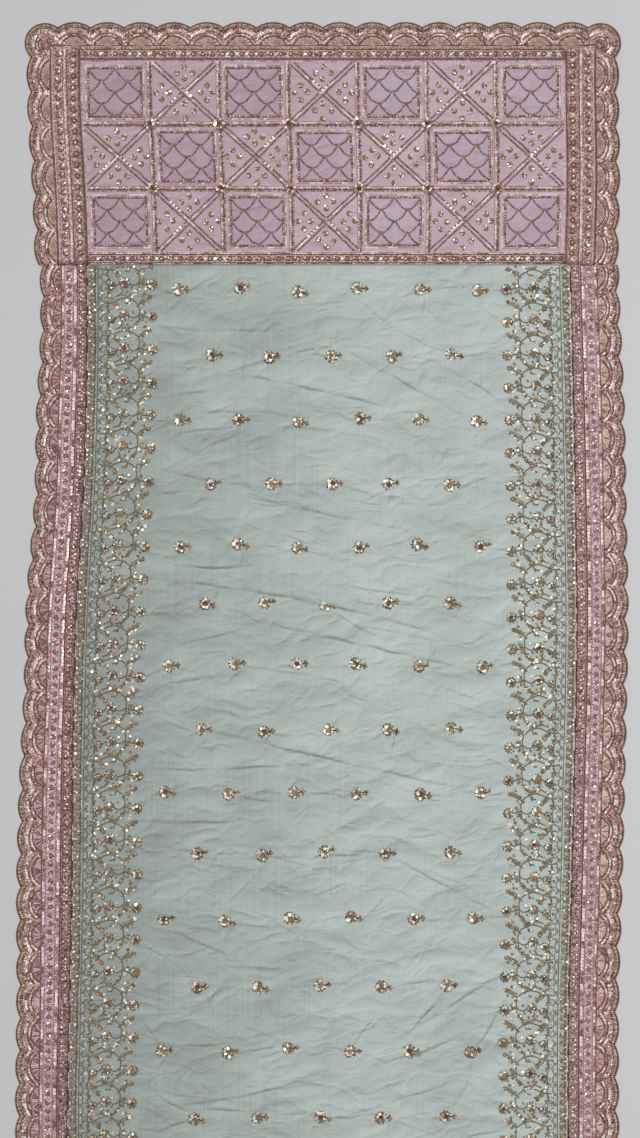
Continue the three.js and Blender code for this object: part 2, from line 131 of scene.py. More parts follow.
# The fine creases between them: x0, s0, x1, s1, sag, height.
CREASES = [
    (-295, 557, -162, 460, -8, 1.8), (-314, 485, -219, 460, 2, 1.5), (-175, 663, -99, 638, 3, 1.6),
    (-304, 712, -219, 699, 0, 2.2), (-171, 766, -266, 781, 0, 1.4), (-142, 775, -294, 851, 4, 1.6),
    (124, 462, 175, 494, 0, 1.4), (190, 519, 224, 566, 0, 1.4), (300, 524, 342, 566, 3, 1.5),
    (76, 528, 243, 627, 10, 1.8), (152, 633, 228, 642, 0, 1.4), (238, 657, 342, 718, -3, 2.8),
    (-308, 893, -219, 889, 0, 1.4), (86, 908, 124, 889, 0, 1.3), (171, 927, 247, 908, 0, 1.5),
    (266, 884, 342, 851, 0, 1.5), (86, 984, 124, 965, 0, 1.3), (-38, 785, 38, 804, 0, 1.5),
    (-133, 823, -86, 847, 0, 1.3), (180, 785, 228, 817, 0, 1.4), (-146, 908, -137, 975, 0, 1.2),
    (-319, 1022, -110, 1028, 9, 2.8), (19, 1060, 219, 1089, 6, 1.8),
    (-180, 1106, -118, 1136, 0, 1.5), (29, 1121, 152, 1178, 6, 2.2),
    (86, 1150, 218, 1174, -4, 2.8), (-294, 1193, -152, 1155, -4, 1.6),
    (-294, 1254, -200, 1243, 0, 1.5), (-200, 1250, -171, 1283, 0, 1.4),
    (-152, 1269, -105, 1269, 0, 1.4), (-314, 1317, -247, 1345, 0, 1.5),
    (-190, 1330, -105, 1334, 0, 1.4), (137, 1288, 142, 1326, 0, 1.2),
    (256, 1269, 304, 1288, 0, 1.4), (266, 1317, 342, 1319, 0, 1.4), (57, 1444, 124, 1433, 3, 1.4),
    (-266, 1454, -180, 1448, 0, 1.5), (-28, 1455, 57, 1459, 0, 1.5), (10, 1512, 57, 1531, 0, 1.3),
    (86, 1478, 133, 1564, 0, 1.4), (-133, 1414, -28, 1408, 0, 2.2),
    (-314, 1602, -247, 1573, 0, 1.5), (-294, 1611, -219, 1649, 0, 1.5),
    (28, 1573, 123, 1575, 0, 1.6), (-76, 1640, 0, 1615, -4, 1.5), (-171, 1668, -99, 1588, 3, 1.8),
    (-10, 1659, 57, 1630, 0, 1.4), (105, 1630, 171, 1659, 0, 1.5), (142, 1588, 285, 1640, 0, 1.6),
    (86, 1697, 133, 1649, 0, 1.4), (-38, 1630, -10, 1801, -8, 1.5),
    (-323, 1757, -247, 1811, -3, 2.8), (-218, 1830, -190, 1906, 2, 2.4),
    (-105, 1830, -67, 1934, 4, 2.4), (-152, 1902, -105, 1919, 0, 1.5),
    (171, 1915, 222, 1858, 0, 2.6), (209, 1735, 228, 1830, 0, 1.4),
    (342, 1868, 295, 1944, -3, 2.2), (67, 2039, 105, 2010, 0, 1.4), (67, 1934, 95, 1896, 0, 1.4),
    (-304, 2039, -247, 2071, 0, 2.6), (-213, 2063, -137, 2065, 0, 2.6),
    (38, 2079, 105, 2073, 0, 2.0), (285, 1953, 281, 2001, 0, 1.4), (247, 2067, 276, 2020, 0, 1.5),
    (285, 2115, 342, 2101, 0, 2.0), (-333, 1896, -300, 1944, 0, 1.5),
    (-285, 1944, -200, 1940, 0, 2.0), (-228, 2010, -209, 2029, 0, 1.6),
]

# Rows of sprigs: s, x of the first and of the last flower, and how many there are.
SPRIG_ROWS = [
    (509, -266, 300, 6), (635, -207, 247, 5), (756, -266, 300, 6), (880, -207, 247, 5),
    (996, -268, 302, 6), (1106, -217, 245, 5), (1222, -283, 308, 6), (1345, -222, 247, 5),
    (1463, -291, 308, 6), (1579, -230, 243, 5), (1704, -295, 295, 6), (1832, -234, 236, 5),
    (1953, -296, 289, 6), (2081, -241, 238, 5),
]
SPRIG_PITCH = 121
HIDDEN_SPRIGS = [(-285, 300, 6), (-228, 243, 5)]


# ---- Where things are ----
def read(table, column, s):
    """A column of a table of stations at s, rounded off where it turns."""
    shifts = (-60, -30, 0, 30, 60)
    return sum(np.interp(s + shift, table["s"], table[column]) for shift in shifts) / len(shifts)


def pallu_tip(side, s):
    return read(PALLU_EDGES, side, s)


def body_tip(side, s):
    return read(BODY_EDGES, side, s)


def body_seam(side, s):
    return read(BODY_EDGES, side + "_seam", s)


def body_join(side, s):
    """The join between net and border, under the middle of its tape."""
    return body_seam(side, s) + OUT[side] * BODY_TAPE / 2


def smooth(low, high, value):
    t = np.clip((value - low) / (high - low), 0, 1)
    return t * t * (3 - 2 * t)


def matched(x, s):
    """Numbers as two arrays of one shape."""
    return np.broadcast_arrays(np.asarray(x, float), np.asarray(s, float))


def heading(turn):
    """Level directions of length 1 at angles."""
    return np.stack([np.cos(turn), np.sin(turn), 0 * turn], -1)


def round_turn(count):
    """Evenly spaced angles, once round."""
    return np.linspace(0, 2 * np.pi, count + 1)[:-1]


def arc_rise(t, chord, rise):
    """Height of a circular arc above its chord, at share t of the chord."""
    radius = chord**2 / (8 * rise) + rise / 2
    return np.sqrt(radius**2 - (chord * (t - 0.5)) ** 2) - (radius - rise)


def corner_join(side):
    past = TOP_JOIN - CORNER["depth"]
    return pallu_tip(side, CORNER["depth"]) - OUT[side] * (PALLU_TAPE[0] + past)


def pallu_join(side, s):
    """The pallu's side joins run straight from the mitre to the lower seam."""
    end = pallu_tip(side, PALLU_END) - OUT[side] * sum(PALLU_TAPE) / 2
    share = (s - TOP_JOIN) / (PALLU_END - TOP_JOIN)
    return corner_join(side) * (1 - share) + end * share


def lobe_centre(side):
    x = pallu_tip(side, CORNER["depth"]) - OUT[side] * PALLU_TAPE[0]
    return np.array([x, CORNER["depth"]])


def lobe_outline(side, t):
    """A corner lobe's edge, from its notch on the pallu's top (0) to the one on its side (1)."""
    out, centre = OUT[side], lobe_centre(side)
    down = CORNER["depth"] + CORNER["down"]
    notches = [
        (centre[0] - out * CORNER["across"], TOP_RISE),
        (pallu_tip(side, down) - out * RISE, down),
    ]
    (r0, turn0), (r1, turn1) = [
        (math.hypot(x - centre[0], s - centre[1]), math.atan2(out * (x - centre[0]), centre[1] - s))
        for x, s in notches
    ]
    r = r0 + (r1 - r0) * t + CORNER["bulge"] * np.sin(np.pi * t)
    turn = turn0 + (turn1 - turn0) * t
    return np.stack([centre[0] + out * r * np.sin(turn), centre[1] - r * np.cos(turn)], -1)


def tape_top(across):
    """Height of a tape's upper face, at a share of its width."""
    return TAPE_LOW + TAPE["wall"] + TAPE["crown"] * 4 * across * (1 - across)


# ---- The net's folds ----
FIELD = {"cell": 1.5, "x": (-500, 500), "s": (440, 5520)}
field_x = np.arange(FIELD["x"][0], FIELD["x"][1] + 1, FIELD["cell"])
field_s = np.arange(FIELD["s"][0], FIELD["s"][1] + 1, FIELD["cell"])
field = np.zeros((len(field_s), len(field_x)))


def window(x0, x1, s0, s1):
    """The part of the field inside a box: its slices, and x and s of its cells."""
    cols = slice(*np.searchsorted(field_x, (x0, x1)))
    rows = slice(*np.searchsorted(field_s, (s0, s1)))
    return (rows, cols), field_x[None, cols], field_s[rows, None]


class Crease:
    """A ridge with a slope above its bowed line, and a steep side and a narrow trough below it."""

    def __init__(self, row, shallow, steep, fade, random):
        x0, s0, x1, s1, self.sag, self.height = row
        if x1 < x0:
            x0, s0, x1, s1, self.sag = x1, s1, x0, s0, -self.sag
        self.start = np.array([x0, s0], float)
        self.length = math.hypot(x1 - x0, s1 - s0)
        self.along = np.array([x1 - x0, s1 - s0]) / self.length
        self.across = np.array([-self.along[1], self.along[0]])
        self.shallow, self.steep, self.fade = shallow, steep, fade
        self.waver = random.uniform(0.5, 1.4), random.uniform(9, 24), random.uniform(0, 6)

    def bow(self, t):
        """How far the line is from a straight one, at share t of its length."""
        inside = np.clip(t, 0, 1)
        size, length, phase = self.waver
        waver = size * np.sin(t * self.length / length + phase)
        return self.sag * 4 * inside * (1 - inside) + waver

    def places(self, step, offsets):
        """Places for the mesh, at offsets in units of the slopes above and below the line."""
        reach = self.fade / self.length
        count = max(4, int((self.length + 2 * self.fade) / step))
        t = np.linspace(-reach, 1 + reach, count)[:, None]
        offsets = np.array(offsets)
        away = self.bow(t) + offsets * np.where(offsets < 0, self.shallow, self.steep)
        ahead = self.start + self.along * (t * self.length)[..., None]
        return (ahead + self.across * away[..., None]).reshape(-1, 2)

    def press(self):
        """Adds the crease to the field."""
        far = self.start + self.along * self.length
        reach = self.fade + 3 * self.shallow + abs(self.sag)
        low, high = np.minimum(self.start, far) - reach, np.maximum(self.start, far) + reach
        part, x, s = window(low[0], high[0], low[1], high[1])
        x, s = x - self.start[0], s - self.start[1]
        t = (x * self.along[0] + s * self.along[1]) / self.length
        away = x * self.across[0] + s * self.across[1] - self.bow(t)
        spread = np.where(away < 0, self.shallow, self.steep) * (0.75 + 0.5 * np.clip(t, 0, 1))
        middle = np.abs(2 * t - 1) * self.length / (self.length + 2 * self.fade)
        run = np.cos(np.pi / 2 * np.clip(middle, 0, 1)) ** 0.8
        run *= 0.62 + 0.38 * np.sin(t * self.length / (1.5 * self.waver[1]) + 2 * self.waver[2])
        trough = 0.42 * np.exp(-(((away - 1.9 * self.steep) / (1.1 * self.steep)) ** 2))
        field[part] += self.height * run * (np.exp(-((away / spread) ** 2)) - trough)


PUCKER = {"reach": 45, "at": 17, "width": 10, "rings": (11, 16, 22, 29)}


def raise_pucker(x, s, random):
    """The small wrinkles that a sprig's stitches pull into the net round it."""
    reach = PUCKER["reach"]
    part, across, down = window(x - reach, x + reach, s - reach, s + reach)
    r = np.hypot(across - x, down - s)
    turn = np.arctan2(down - s, across - x)
    spokes = 0.5 + 0.5 * np.sin(turn * random.integers(4, 8) + random.uniform(0, 6))
    field[part] += spokes * np.exp(-(((r - PUCKER["at"]) / PUCKER["width"]) ** 2))


def sprig_places():
    """(x, s) of each sprig's flower."""
    rows = list(SPRIG_ROWS)
    s = rows[-1][0]
    while s + 2 * SPRIG_PITCH < LENGTH:
        s += SPRIG_PITCH
        rows.append((s, *HIDDEN_SPRIGS[len(rows) % 2]))
    random = np.random.default_rng(11)
    places = [
        (x, s) for s, first, last, count in rows for x in np.linspace(first, last, count)
    ]
    return np.array(places, float) + random.uniform(-4, 4, (len(places), 2))


def elsewhere(creases, random, kept):
    """The same creases again along the hidden stretches: turned over, then as they are."""
    turned, again = [], []
    for x0, s0, x1, s1, sag, height in creases:
        turned.append((-x1, s1 + REPEAT, -x0, s0 + REPEAT, sag, height))
        again.append((x0, s0 + 2 * REPEAT, x1, s1 + 2 * REPEAT, sag, height))
    return [
        (*crease[:5], crease[5] * random.uniform(0.7, 1.1))
        for crease in turned + again
        if random.uniform() < kept
    ]


# From a sprig: its side of the flower (0 is under it), chance, spread of its turn, and longest.
WRINKLES = [(1, 0.95, 0.2, 110), (-1, 0.8, 0.3, 60), (0, 0.8, 0, 60)]
WRINKLE_FOOT = {1: 18, 0: 9, -1: -8}


def wrinkle_rows(sprigs, random):
    """Short creases that run from the sprigs, most of them nearly level."""
    rows = []
    for x, s in sprigs[sprigs[:, 1] < NEAR_END]:
        for side, chance, spread, longest in WRINKLES:
            if random.uniform() > chance:
                continue
            if side:
                turn = random.normal(0, spread)
            else:
                turn = random.uniform(1.0, 2.1) * random.choice([-1, 1])
            length = random.uniform(18, longest)
            foot = x + WRINKLE_FOOT[side]
            reach = (side or 1) * length * math.cos(turn), length * math.sin(turn)
            rows.append((foot, s + 2, foot + reach[0], s + 2 + reach[1], random.uniform(-5, 5),
                         random.uniform(0.9, 2.4)))
    return rows


def lower(rows, share):
    return [(*row[:5], row[5] * share) for row in rows]


FADE = {"side": 110, "pallu": (462, 500), "end": (LENGTH - 50, LENGTH - 14)}
WAVES = {"count": 16, "length": (60, 240), "height": 0.3, "mean": 1.5}


def fold_net(sprigs):
    """Fills the field with folds, creases, puckers and low waves. Returns places for the mesh."""
    random = np.random.default_rng(5)
    large = [fold for fold in FOLDS if fold[5] >= LARGE_FOLD]
    places = []
    # Rows, the slopes above and below the line, the fade at its ends, and the mesh's places:
    # their step along the line and their offsets across it.
    for rows, shallow, steep, fade, step, offsets in (
        (lower(FOLDS, 0.55), 14, 2.4, 22, 7,
         (-2, -1.3, -0.8, -0.4, -0.15, 0, 0.6, 1.2, 1.9, 2.7, 4)),
        (lower(CREASES, 1.1), 8, 1.9, 14, 6, (-2, -1.1, -0.5, -0.15, 0, 0.7, 1.4, 2.2, 3.2)),
        (wrinkle_rows(sprigs, random), 5, 1.7, 9, 6.5, (-1.5, -0.6, 0, 0.8, 1.7, 3)),
        (elsewhere(large, random, 1), 20, 5.0, 45, 12, (-2, -1.2, -0.5, 0, 1, 2, 3.2)),
        (elsewhere(CREASES, random, 0.5), 10, 3.0, 20, 10, (-1.5, -0.6, 0, 1, 2, 3.5)),
    ):
        for row in rows:
            crease = Crease(row, shallow, steep, fade, random)
            crease.press()
            places.append(crease.places(step, offsets))
    for x, s in sprigs:
        raise_pucker(x, s, random)
        if s < NEAR_END:
            for radius in PUCKER["rings"]:
                places.append([x, s] + radius * heading(round_turn(14))[:, :2])
    low = np.zeros_like(field)
    for _ in range(WAVES["count"]):
        length, turn = random.uniform(*WAVES["length"]), random.uniform(0, np.pi)
        phase = random.uniform(0, 2 * np.pi)
        low += np.sin(
            2 * np.pi / length
            * (field_x[None] * np.cos(turn) + 1.6 * field_s[:, None] * np.sin(turn)) + phase
        )
    field[:] += WAVES["mean"] + WAVES["height"] * low
    left = field_x[None] - body_seam("left", field_s)[:, None]
    right = body_seam("right", field_s)[:, None] - field_x[None]
    field[:] *= smooth(0, FADE["side"], np.minimum(left, right))
    ends = smooth(*FADE["pallu"], field_s) * (1 - smooth(*FADE["end"], field_s))
    field[:] = np.maximum(field * ends[:, None], 0)
    return np.concatenate(places)


def net_height(x, s):
    """The field's height at places, read between its cells."""
    across = np.clip((x - field_x[0]) / FIELD["cell"], 0, len(field_x) - 1.001)
    down = np.clip((s - field_s[0]) / FIELD["cell"], 0, len(field_s) - 1.001)
    c, r = across.astype(int), down.astype(int)
    fc, fr = across - c, down - r
    upper = field[r, c] * (1 - fc) + field[r, c + 1] * fc
    lower = field[r + 1, c] * (1 - fc) + field[r + 1, c + 1] * fc
    return upper * (1 - fr) + lower * fr


def on_net(x, s):
    x, s = matched(x, s)
    return np.stack([x, s, net_height(x, s) + WALL], -1)


# ---- Borders ----
class Border:
    """A scalloped edge. u runs along it and d inward from the tips."""

    def __init__(self, place, ends, origin, pitch, rise, fan, tape):
        self.place, self.ends, self.pitch, self.rise = place, ends, pitch, rise
        self.origin, self.fan, self.tape = origin, fan, tape
        first = math.floor((ends[0] - origin) / pitch + 0.02)
        last = math.ceil((ends[1] - origin) / pitch - 0.02)
        self.starts = origin + pitch * np.arange(first, last)
        self.low = np.clip((ends[0] - self.starts) / pitch, 0, 1)
        self.high = np.clip((ends[1] - self.starts) / pitch, 0, 1)

    def dome(self, u, d):
        share = (u - self.origin) / self.pitch
        rise = np.abs(np.sin(np.pi * share)) * self.fan["dome"]
        return rise * np.exp(-(((d - self.fan["at"]) / self.fan["reach"]) ** 2))

    def spots(self, u, d):
        u, d = matched(u, d)
        across = (d - self.tape[0]) / (self.tape[1] - self.tape[0])
        on_tape = (across >= 0) & (across <= 1)
        z = np.where(on_tape, tape_top(np.clip(across, 0, 1)), WALL + self.dome(u, d))
        return np.concatenate([self.place(u, d), z[..., None]], -1)

    def arcs(self, apex, end, inset, count):
        """Spots along an arc over each scallop, apex deep at its top and end at its feet."""
        low, high = np.maximum(self.low, inset), np.minimum(self.high, 1 - inset)
        kept = high - low > 0.1
        starts, low, high = self.starts[kept, None], low[kept, None], high[kept, None]
        t = low + (high - low) * np.linspace(0, 1, count)
        rise = (end - apex) * self.rise / RISE
        inner = (t - inset) / (1 - 2 * inset)
        depth = apex + rise - arc_rise(inner, self.pitch * (1 - 2 * inset), rise)
        return self.spots(starts + t * self.pitch, depth)

    def line(self, d, step=30):
        count = int((self.ends[1] - self.ends[0]) / step) + 2
        return self.spots(np.linspace(*self.ends, count), d)[None]

    def row(self, d, pitch, shift=0.5):
        """Spots evenly along the border at one depth."""
        count = int((self.ends[1] - self.ends[0]) / pitch)
        step = (self.ends[1] - self.ends[0]) / count
        return self.spots(self.ends[0] + step * (np.arange(count) + shift), d)


def body_border(side, ends=(PALLU_END + SEAM, LENGTH)):
    def place(u, d):
        tip, seam = body_tip(side, u), body_seam(side, u)
        return np.stack([tip + (seam - tip) * d / BORDER_DEPTH, u], -1)

    tape = (BORDER_DEPTH - BODY_TAPE, BORDER_DEPTH)
    return Border(place, ends, PALLU_END - PHASE[side], PITCH, RISE, FAN, tape)


def body_stretches(side):
    """The border's finely worked stretch and its plainer one, parted between two scallops."""
    whole = body_border(side)
    parting = whole.origin + round((NEAR_END - whole.origin) / PITCH) * PITCH
    near, far = (whole.ends[0], parting), (parting, LENGTH - 2)
    return (body_border(side, near), True), (body_border(side, far), False)


def pallu_side_border(side):
    start = CORNER["depth"] + CORNER["down"]
    pitch = (PALLU_END - start) / SIDE_SCALLOPS

    def place(u, d):
        return np.stack([pallu_tip(side, u) - OUT[side] * d, u], -1)

    return Border(place, (start, PALLU_END), start, pitch, RISE, SIDE_FAN, PALLU_TAPE)


def pallu_top_border():
    ends = [lobe_outline("left", 0.0)[0], lobe_outline("right", 0.0)[0]]
    pitch = (ends[1] - ends[0]) / TOP_SCALLOPS

    def place(u, d):
        return np.stack([u, d], -1)

    return Border(place, ends, ends[0], pitch, TOP_RISE, FAN, TOP_TAPE)


def lobe_spots(side, t, d):
    """Spots on a corner lobe, d inward from its edge towards its inner corner."""
    t, d = matched(t, d)
    edge, centre = lobe_outline(side, t), lobe_centre(side)
    radius = np.hypot(*(edge - centre).transpose(-1, *range(t.ndim)))
    spots = edge + (centre - edge) * (d / radius)[..., None]
    return np.concatenate([spots, np.full((*t.shape, 1), WALL + 0.2)], -1)


class Lobe:
    """A corner lobe, whose rows of work are laid out as a scallop's are."""

    def __init__(self, side):
        self.side = side

    def arcs(self, apex, end, inset, count):
        t = np.linspace(0.4 * inset, 1 - 0.4 * inset, count + 10)
        return lobe_spots(self.side, t, apex)[None]


# ---- Meshes ----
def flat(spots):
    """Millimetres in the part's frame, from spots."""
    return np.stack([spots[..., 0] - MIDDLE_X, LENGTH / 2 - spots[..., 1], spots[..., 2]], -1)


def placed(name, data):
    """A new object in the scene."""
    item = bpy.data.objects.new(name, data)
    bpy.context.scene.collection.objects.link(item)
    return item


def new_piece(name, points, faces, slots, materials, smooth_faces, node=None):
    """An object from points in millimetres and arrays of faces, riding on the part's one body."""
    mesh = bpy.data.meshes.new(name)
    mesh.vertices.add(len(points))
    mesh.vertices.foreach_set("co", (points / 1000).astype(np.float32).ravel())
    corners = np.concatenate([f.ravel() for f in faces]).astype(np.int32)
    sizes = np.concatenate([np.full(len(f), f.shape[1]) for f in faces])
    mesh.loops.add(len(corners))
    mesh.loops.foreach_set("vertex_index", corners)
    mesh.polygons.add(len(sizes))
    mesh.polygons.foreach_set("loop_start", (np.cumsum(sizes) - sizes).astype(np.int32))
    mesh.polygons.foreach_set("material_index", np.asarray(slots, np.int32))
    mesh.polygons.foreach_set("use_smooth", smooth_faces)
    mesh.update(calc_edges=True)
    for material in materials:
        mesh.materials.append(material)
    piece = placed(name, mesh)
    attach(piece, "root")
    if node:
        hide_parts(node)
    return piece


def facing_up(points, faces):
    """Grid faces turned over if their first one faces down."""
    a, b, c = points[faces[0, :3]]
    area = (b[0] - a[0]) * (c[1] - a[1]) - (c[0] - a[0]) * (b[1] - a[1])
    return faces if area > 0 else faces[:, ::-1]


def grid_faces(rows, columns):
    corner = np.arange(rows - 1)[:, None] * columns + np.arange(columns - 1)
    corner = corner.ravel()
    return np.stack([corner, corner + 1, corner + columns + 1, corner + columns], 1)


def grid_rim(rows, columns):
    """Point numbers round a grid's edge, one way round."""
    numbers = np.arange(rows * columns).reshape(rows, columns)
    return np.concatenate(
        [numbers[0, :-1], numbers[:-1, -1], numbers[-1, :0:-1], numbers[:0:-1, 0]]
    )


def closed_wall(name, upper, up, rim, under, coarse, materials, slots, node):
    """A closed thin wall: upper spots with their faces and rim, over a grid of under spots."""
    top, shape = flat(upper), under.shape[:2]
    bottom = flat(under.reshape(-1, 3))
    if facing_up(top, up) is not up:
        up = up[:, ::-1]
    grid = grid_faces(*shape)
    down = facing_up(bottom, grid)[:, ::-1] + len(top)
    under_rim = grid_rim(*shape) + len(top)
    steps = np.arange(len(under_rim))[:, None] * coarse
    above = rim[(steps + np.arange(coarse + 1)) % len(rim)]
    side = np.concatenate([np.roll(under_rim, -1)[:, None], under_rim[:, None], above], 1)
    across, along = bottom[1] - bottom[0], bottom[shape[1]] - bottom[0]
    side = side[:, ::-1] if across[0] * along[1] > across[1] * along[0] else side
    slots = np.concatenate([np.broadcast_to(slots, len(up)), np.zeros(len(down) + len(side))])
    shading = np.arange(len(slots)) < len(up) + len(down)
    points = np.concatenate([top, bottom])
    return new_piece(name, points, [up, down, side], slots, materials, shading, node)


def cloth_piece(name, upper, low, materials, node, coarse=1, bands=0):
    """A closed thin wall over a grid of spots. bands gives a material for each column."""
    rows, columns = upper.shape[:2]
    under = upper[::coarse, ::coarse].copy()
    under[..., 2] = low
    slots = np.broadcast_to(bands, (rows - 1, columns - 1)).ravel()
    faces, rim = grid_faces(rows, columns), grid_rim(rows, columns)
    return closed_wall(name, upper.reshape(-1, 3), faces, rim, under, coarse, materials, slots,
                       node)


def ring(sides, radius, z):
    turn = 2 * np.pi * np.arange(sides) / sides
    return np.stack([radius * np.cos(turn), radius * np.sin(turn), np.full(sides, float(z))], -1)


def hub_faces(count):
    """Faces from an outline's points to a hub numbered after them, and the outline's own face."""
    k = np.arange(count)
    return np.stack([k, (k + 1) % count, np.full(count, count)], 1), k[::-1][None]


def copied(faces, times, points):
    """The same faces for each of so many sets of points."""
    steps = np.arange(times)[:, None, None] * points
    return [(block[None] + steps).reshape(-1, block.shape[1]) for block in faces]


def unit_sequin():
    """A flat round face of radius 1 over a point: its face is what shows."""
    cone, face = hub_faces(6)
    return np.concatenate([ring(6, 1, 1), [[0, 0, 0]]]), [face[:, ::-1], cone[:, ::-1]]


def unit_bead():
    """A dome of radius 1 and height 1."""
    points = np.concatenate([ring(6, 1, 0), ring(6, 0.72, 0.7), [[0, 0, 1]]])
    k = np.arange(6)
    n = (k + 1) % 6
    cap, base = hub_faces(6)
    return points, [np.stack([k, n, n + 6, k + 6], 1), cap + 6, base]


def unit_knot():
    """A four-sided pyramid, for the smallest beads."""
    return np.concatenate([ring(4, 1, 0), [[0, 0, 1]]]), hub_faces(4)


def unit_leaf():
    """A leaf from -1 to 1 along x, rounder at its foot, with a raised middle."""
    outline = [(-1, 0), (-0.5, -0.75), (0.15, -0.85), (1, 0), (0.15, 0.85), (-0.5, 0.75)]
    points = np.array([(x, y, 0) for x, y in outline] + [(-0.15, 0, 1)], float)
    return points, hub_faces(6)


def unit_rod():
    """A short rod from -1 to 1 along x, with a ridge."""
    base = [(-1, -1, 0), (1, -1, 0), (1, 1, 0), (-1, 1, 0)]
    points = np.array(base + [(-0.8, 0, 1), (0.8, 0, 1)], float)
    quads = np.array([(0, 1, 5, 4), (2, 3, 4, 5), (3, 2, 1, 0)])
    return points, [quads, np.array([(1, 2, 5), (3, 0, 4)])]


def unit_star(petals=6):
    """A rosette of radius 1: raised petals round a sunken heart."""
    points = ring(2 * petals, 1, 0)
    points[1::2, :2] *= 0.72
    points = np.concatenate([points, ring(petals, 0.6, 1), [[0, 0, 0.45]]])
    k = np.arange(petals)
    n, crest = (k + 1) % petals, 2 * petals
    sides = [
        np.stack(side, 1) for side in (
            (2 * k, 2 * k + 1, k + crest), (2 * k + 1, 2 * n, n + crest),
            (2 * k + 1, n + crest, k + crest),
        )
    ]
    return points, [np.concatenate([*sides, hub_faces(petals)[0] + crest]), hub_faces(crest)[1]]


SEQUIN, BEAD, KNOT = unit_sequin(), unit_bead(), unit_knot()
LEAF, ROD, STAR, SMALL_STAR = unit_leaf(), unit_rod(), unit_star(), unit_star(4)


class Work:
    """Embroidery that becomes one mesh: cords, sequins, beads and leaves on the cloth."""

    def __init__(self, seed, sparkle=None):
        self.random = np.random.default_rng(seed)
        self.sparkle = sparkle or BRIGHT
        self.points, self.faces, self.slots, self.shading = [], [], [], []
        self.materials, self.count = [], 0

    def add(self, points, faces, material, smooth_faces):
        if material not in self.materials:
            self.materials.append(material)
        slot = self.materials.index(material)
        for block in faces:
            self.faces.append(block + self.count)
            self.slots.append(np.full(len(block), slot))
            self.shading.append(np.full(len(block), smooth_faces))
        self.points.append(points)
        self.count += len(points)

    def cord(self, spots, width, height, material, closed=False, waver=0):
        """Cords with a ridge along them, one through each row of spots (rows, places, 3)."""
        line = flat(spots)
        if closed:
            along = np.roll(line, -1, 1) - np.roll(line, 1, 1)
        else:
            along = np.gradient(line, axis=1)
        along = along[..., :2] / np.maximum(np.hypot(along[..., 0], along[..., 1]), 1e-6)[..., None]
        across = np.stack([-along[..., 1], along[..., 0], np.zeros(line.shape[:2])], -1)
        line = line + across * self.random.uniform(-waver, waver, (*line.shape[:2], 1))
        side, up = across * width / 2, np.array([0, 0, height])
        section = np.stack([line + side, line + up, line - side], 2)
        cords, places = line.shape[:2]
        numbers = np.arange(cords * places * 3).reshape(cords, places, 3)
        if closed:
            numbers = np.concatenate([numbers, numbers[:, :1]], 1)
        here, there = numbers[:, :-1].reshape(-1, 3), numbers[:, 1:].reshape(-1, 3)
        quads = [
            np.stack([here[:, a], there[:, a], there[:, b], here[:, b]], 1)
            for a, b in ((1, 0), (2, 1), (0, 2))
        ]
        faces = [np.concatenate(quads)]
        if not closed:
            ends = numbers[:, 0][:, [0, 2, 1]], numbers[:, -1][:, [2, 0, 1]]
            faces.append(np.concatenate(ends))
        self.add(section.reshape(-1, 3), faces, material, True)

    def scatter(self, unit, spots, size, material, turn=0, tilt=0, smooth_faces=False, *, lift):
        """Copies of a unit shape, size = (along, across, height), turned and tilted a little.

        A list of materials is dealt out at random."""
        points, faces = unit
        places = flat(spots.reshape(-1, 3))
        count = len(places)
        sizes = [np.broadcast_to(part, count)[:, None] for part in size]
        x, y, z = [points[None, :, k] * sizes[k] for k in range(3)]
        lean = self.random.normal(0, 1, (2, count, 1)) * tilt
        z = z + x * lean[0] + y * lean[1]
        turn = np.broadcast_to(turn, count)[:, None]
        cos, sin = np.cos(turn), np.sin(turn)
        placed = np.stack([x * cos - y * sin, x * sin + y * cos, z], -1) + places[:, None]
        placed[..., 2] = np.maximum(placed[..., 2] + lift, 0.05)
        choices = material if isinstance(material, list) else [material]
        picks = self.random.integers(0, len(choices), count)
        for pick, choice in enumerate(choices):
            chosen = placed[picks == pick]
            blocks = copied(faces, len(chosen), len(points))
            self.add(chosen.reshape(-1, 3), blocks, choice, smooth_faces)

    def sequins(self, spots, radius, material, tilt=0.16, lift=0.1):
        turn = self.random.uniform(0, 1, len(spots.reshape(-1, 3)))
        self.scatter(SEQUIN, spots, (radius, radius, 0.5), material, turn, tilt, lift=lift)

    def beads(self, spots, radius, height, material):
        self.scatter(BEAD, spots, (radius, radius, height), material, smooth_faces=True, lift=0)

    def knots(self, spots, radius, height, material, lift=0):
        turn = self.random.uniform(0, 3, len(spots.reshape(-1, 3)))
        self.scatter(KNOT, spots, (radius, radius, height), material, turn, lift=lift)

    def stars(self, spots, radius, height, material, lift=0, unit=STAR):
        turn = self.random.uniform(0, 3, len(spots.reshape(-1, 3)))
        self.scatter(unit, spots, (radius, radius, height), material, turn, lift=lift)

    def leaves(self, feet, tips, width, height, material, lift=0, unit=LEAF):
        feet, tips = feet.reshape(-1, 3), tips.reshape(-1, 3)
        reach = flat(tips) - flat(feet)
        length = np.hypot(reach[:, 0], reach[:, 1])
        turn = np.arctan2(reach[:, 1], reach[:, 0])
        size = (length / 2, width / 2, height)
        self.scatter(unit, (feet + tips) / 2, size, material, turn, lift=lift)

    def gleams(self, line, width, height, bright, dull, lift=0):
        """Dashes end to end along rows of spots, bright in runs of uneven length: the bright runs
        are partly painted highlights.
        """
        count = line[..., 0].size
        lengths = self.random.integers(2, 8, count)
        runs = np.repeat(np.arange(count) % 2 == 0, lengths)[:count].reshape(line.shape[:-1])
        feet, tips = line[..., :-1, :], line[..., 1:, :]
        gap, runs = (tips - feet) * 0.06, runs[..., :-1]
        for chosen, material in ((runs, bright), (~runs, dull)):
            ends = (feet + gap)[chosen], (tips - gap)[chosen]
            self.leaves(*ends, width, height, material, lift, ROD)

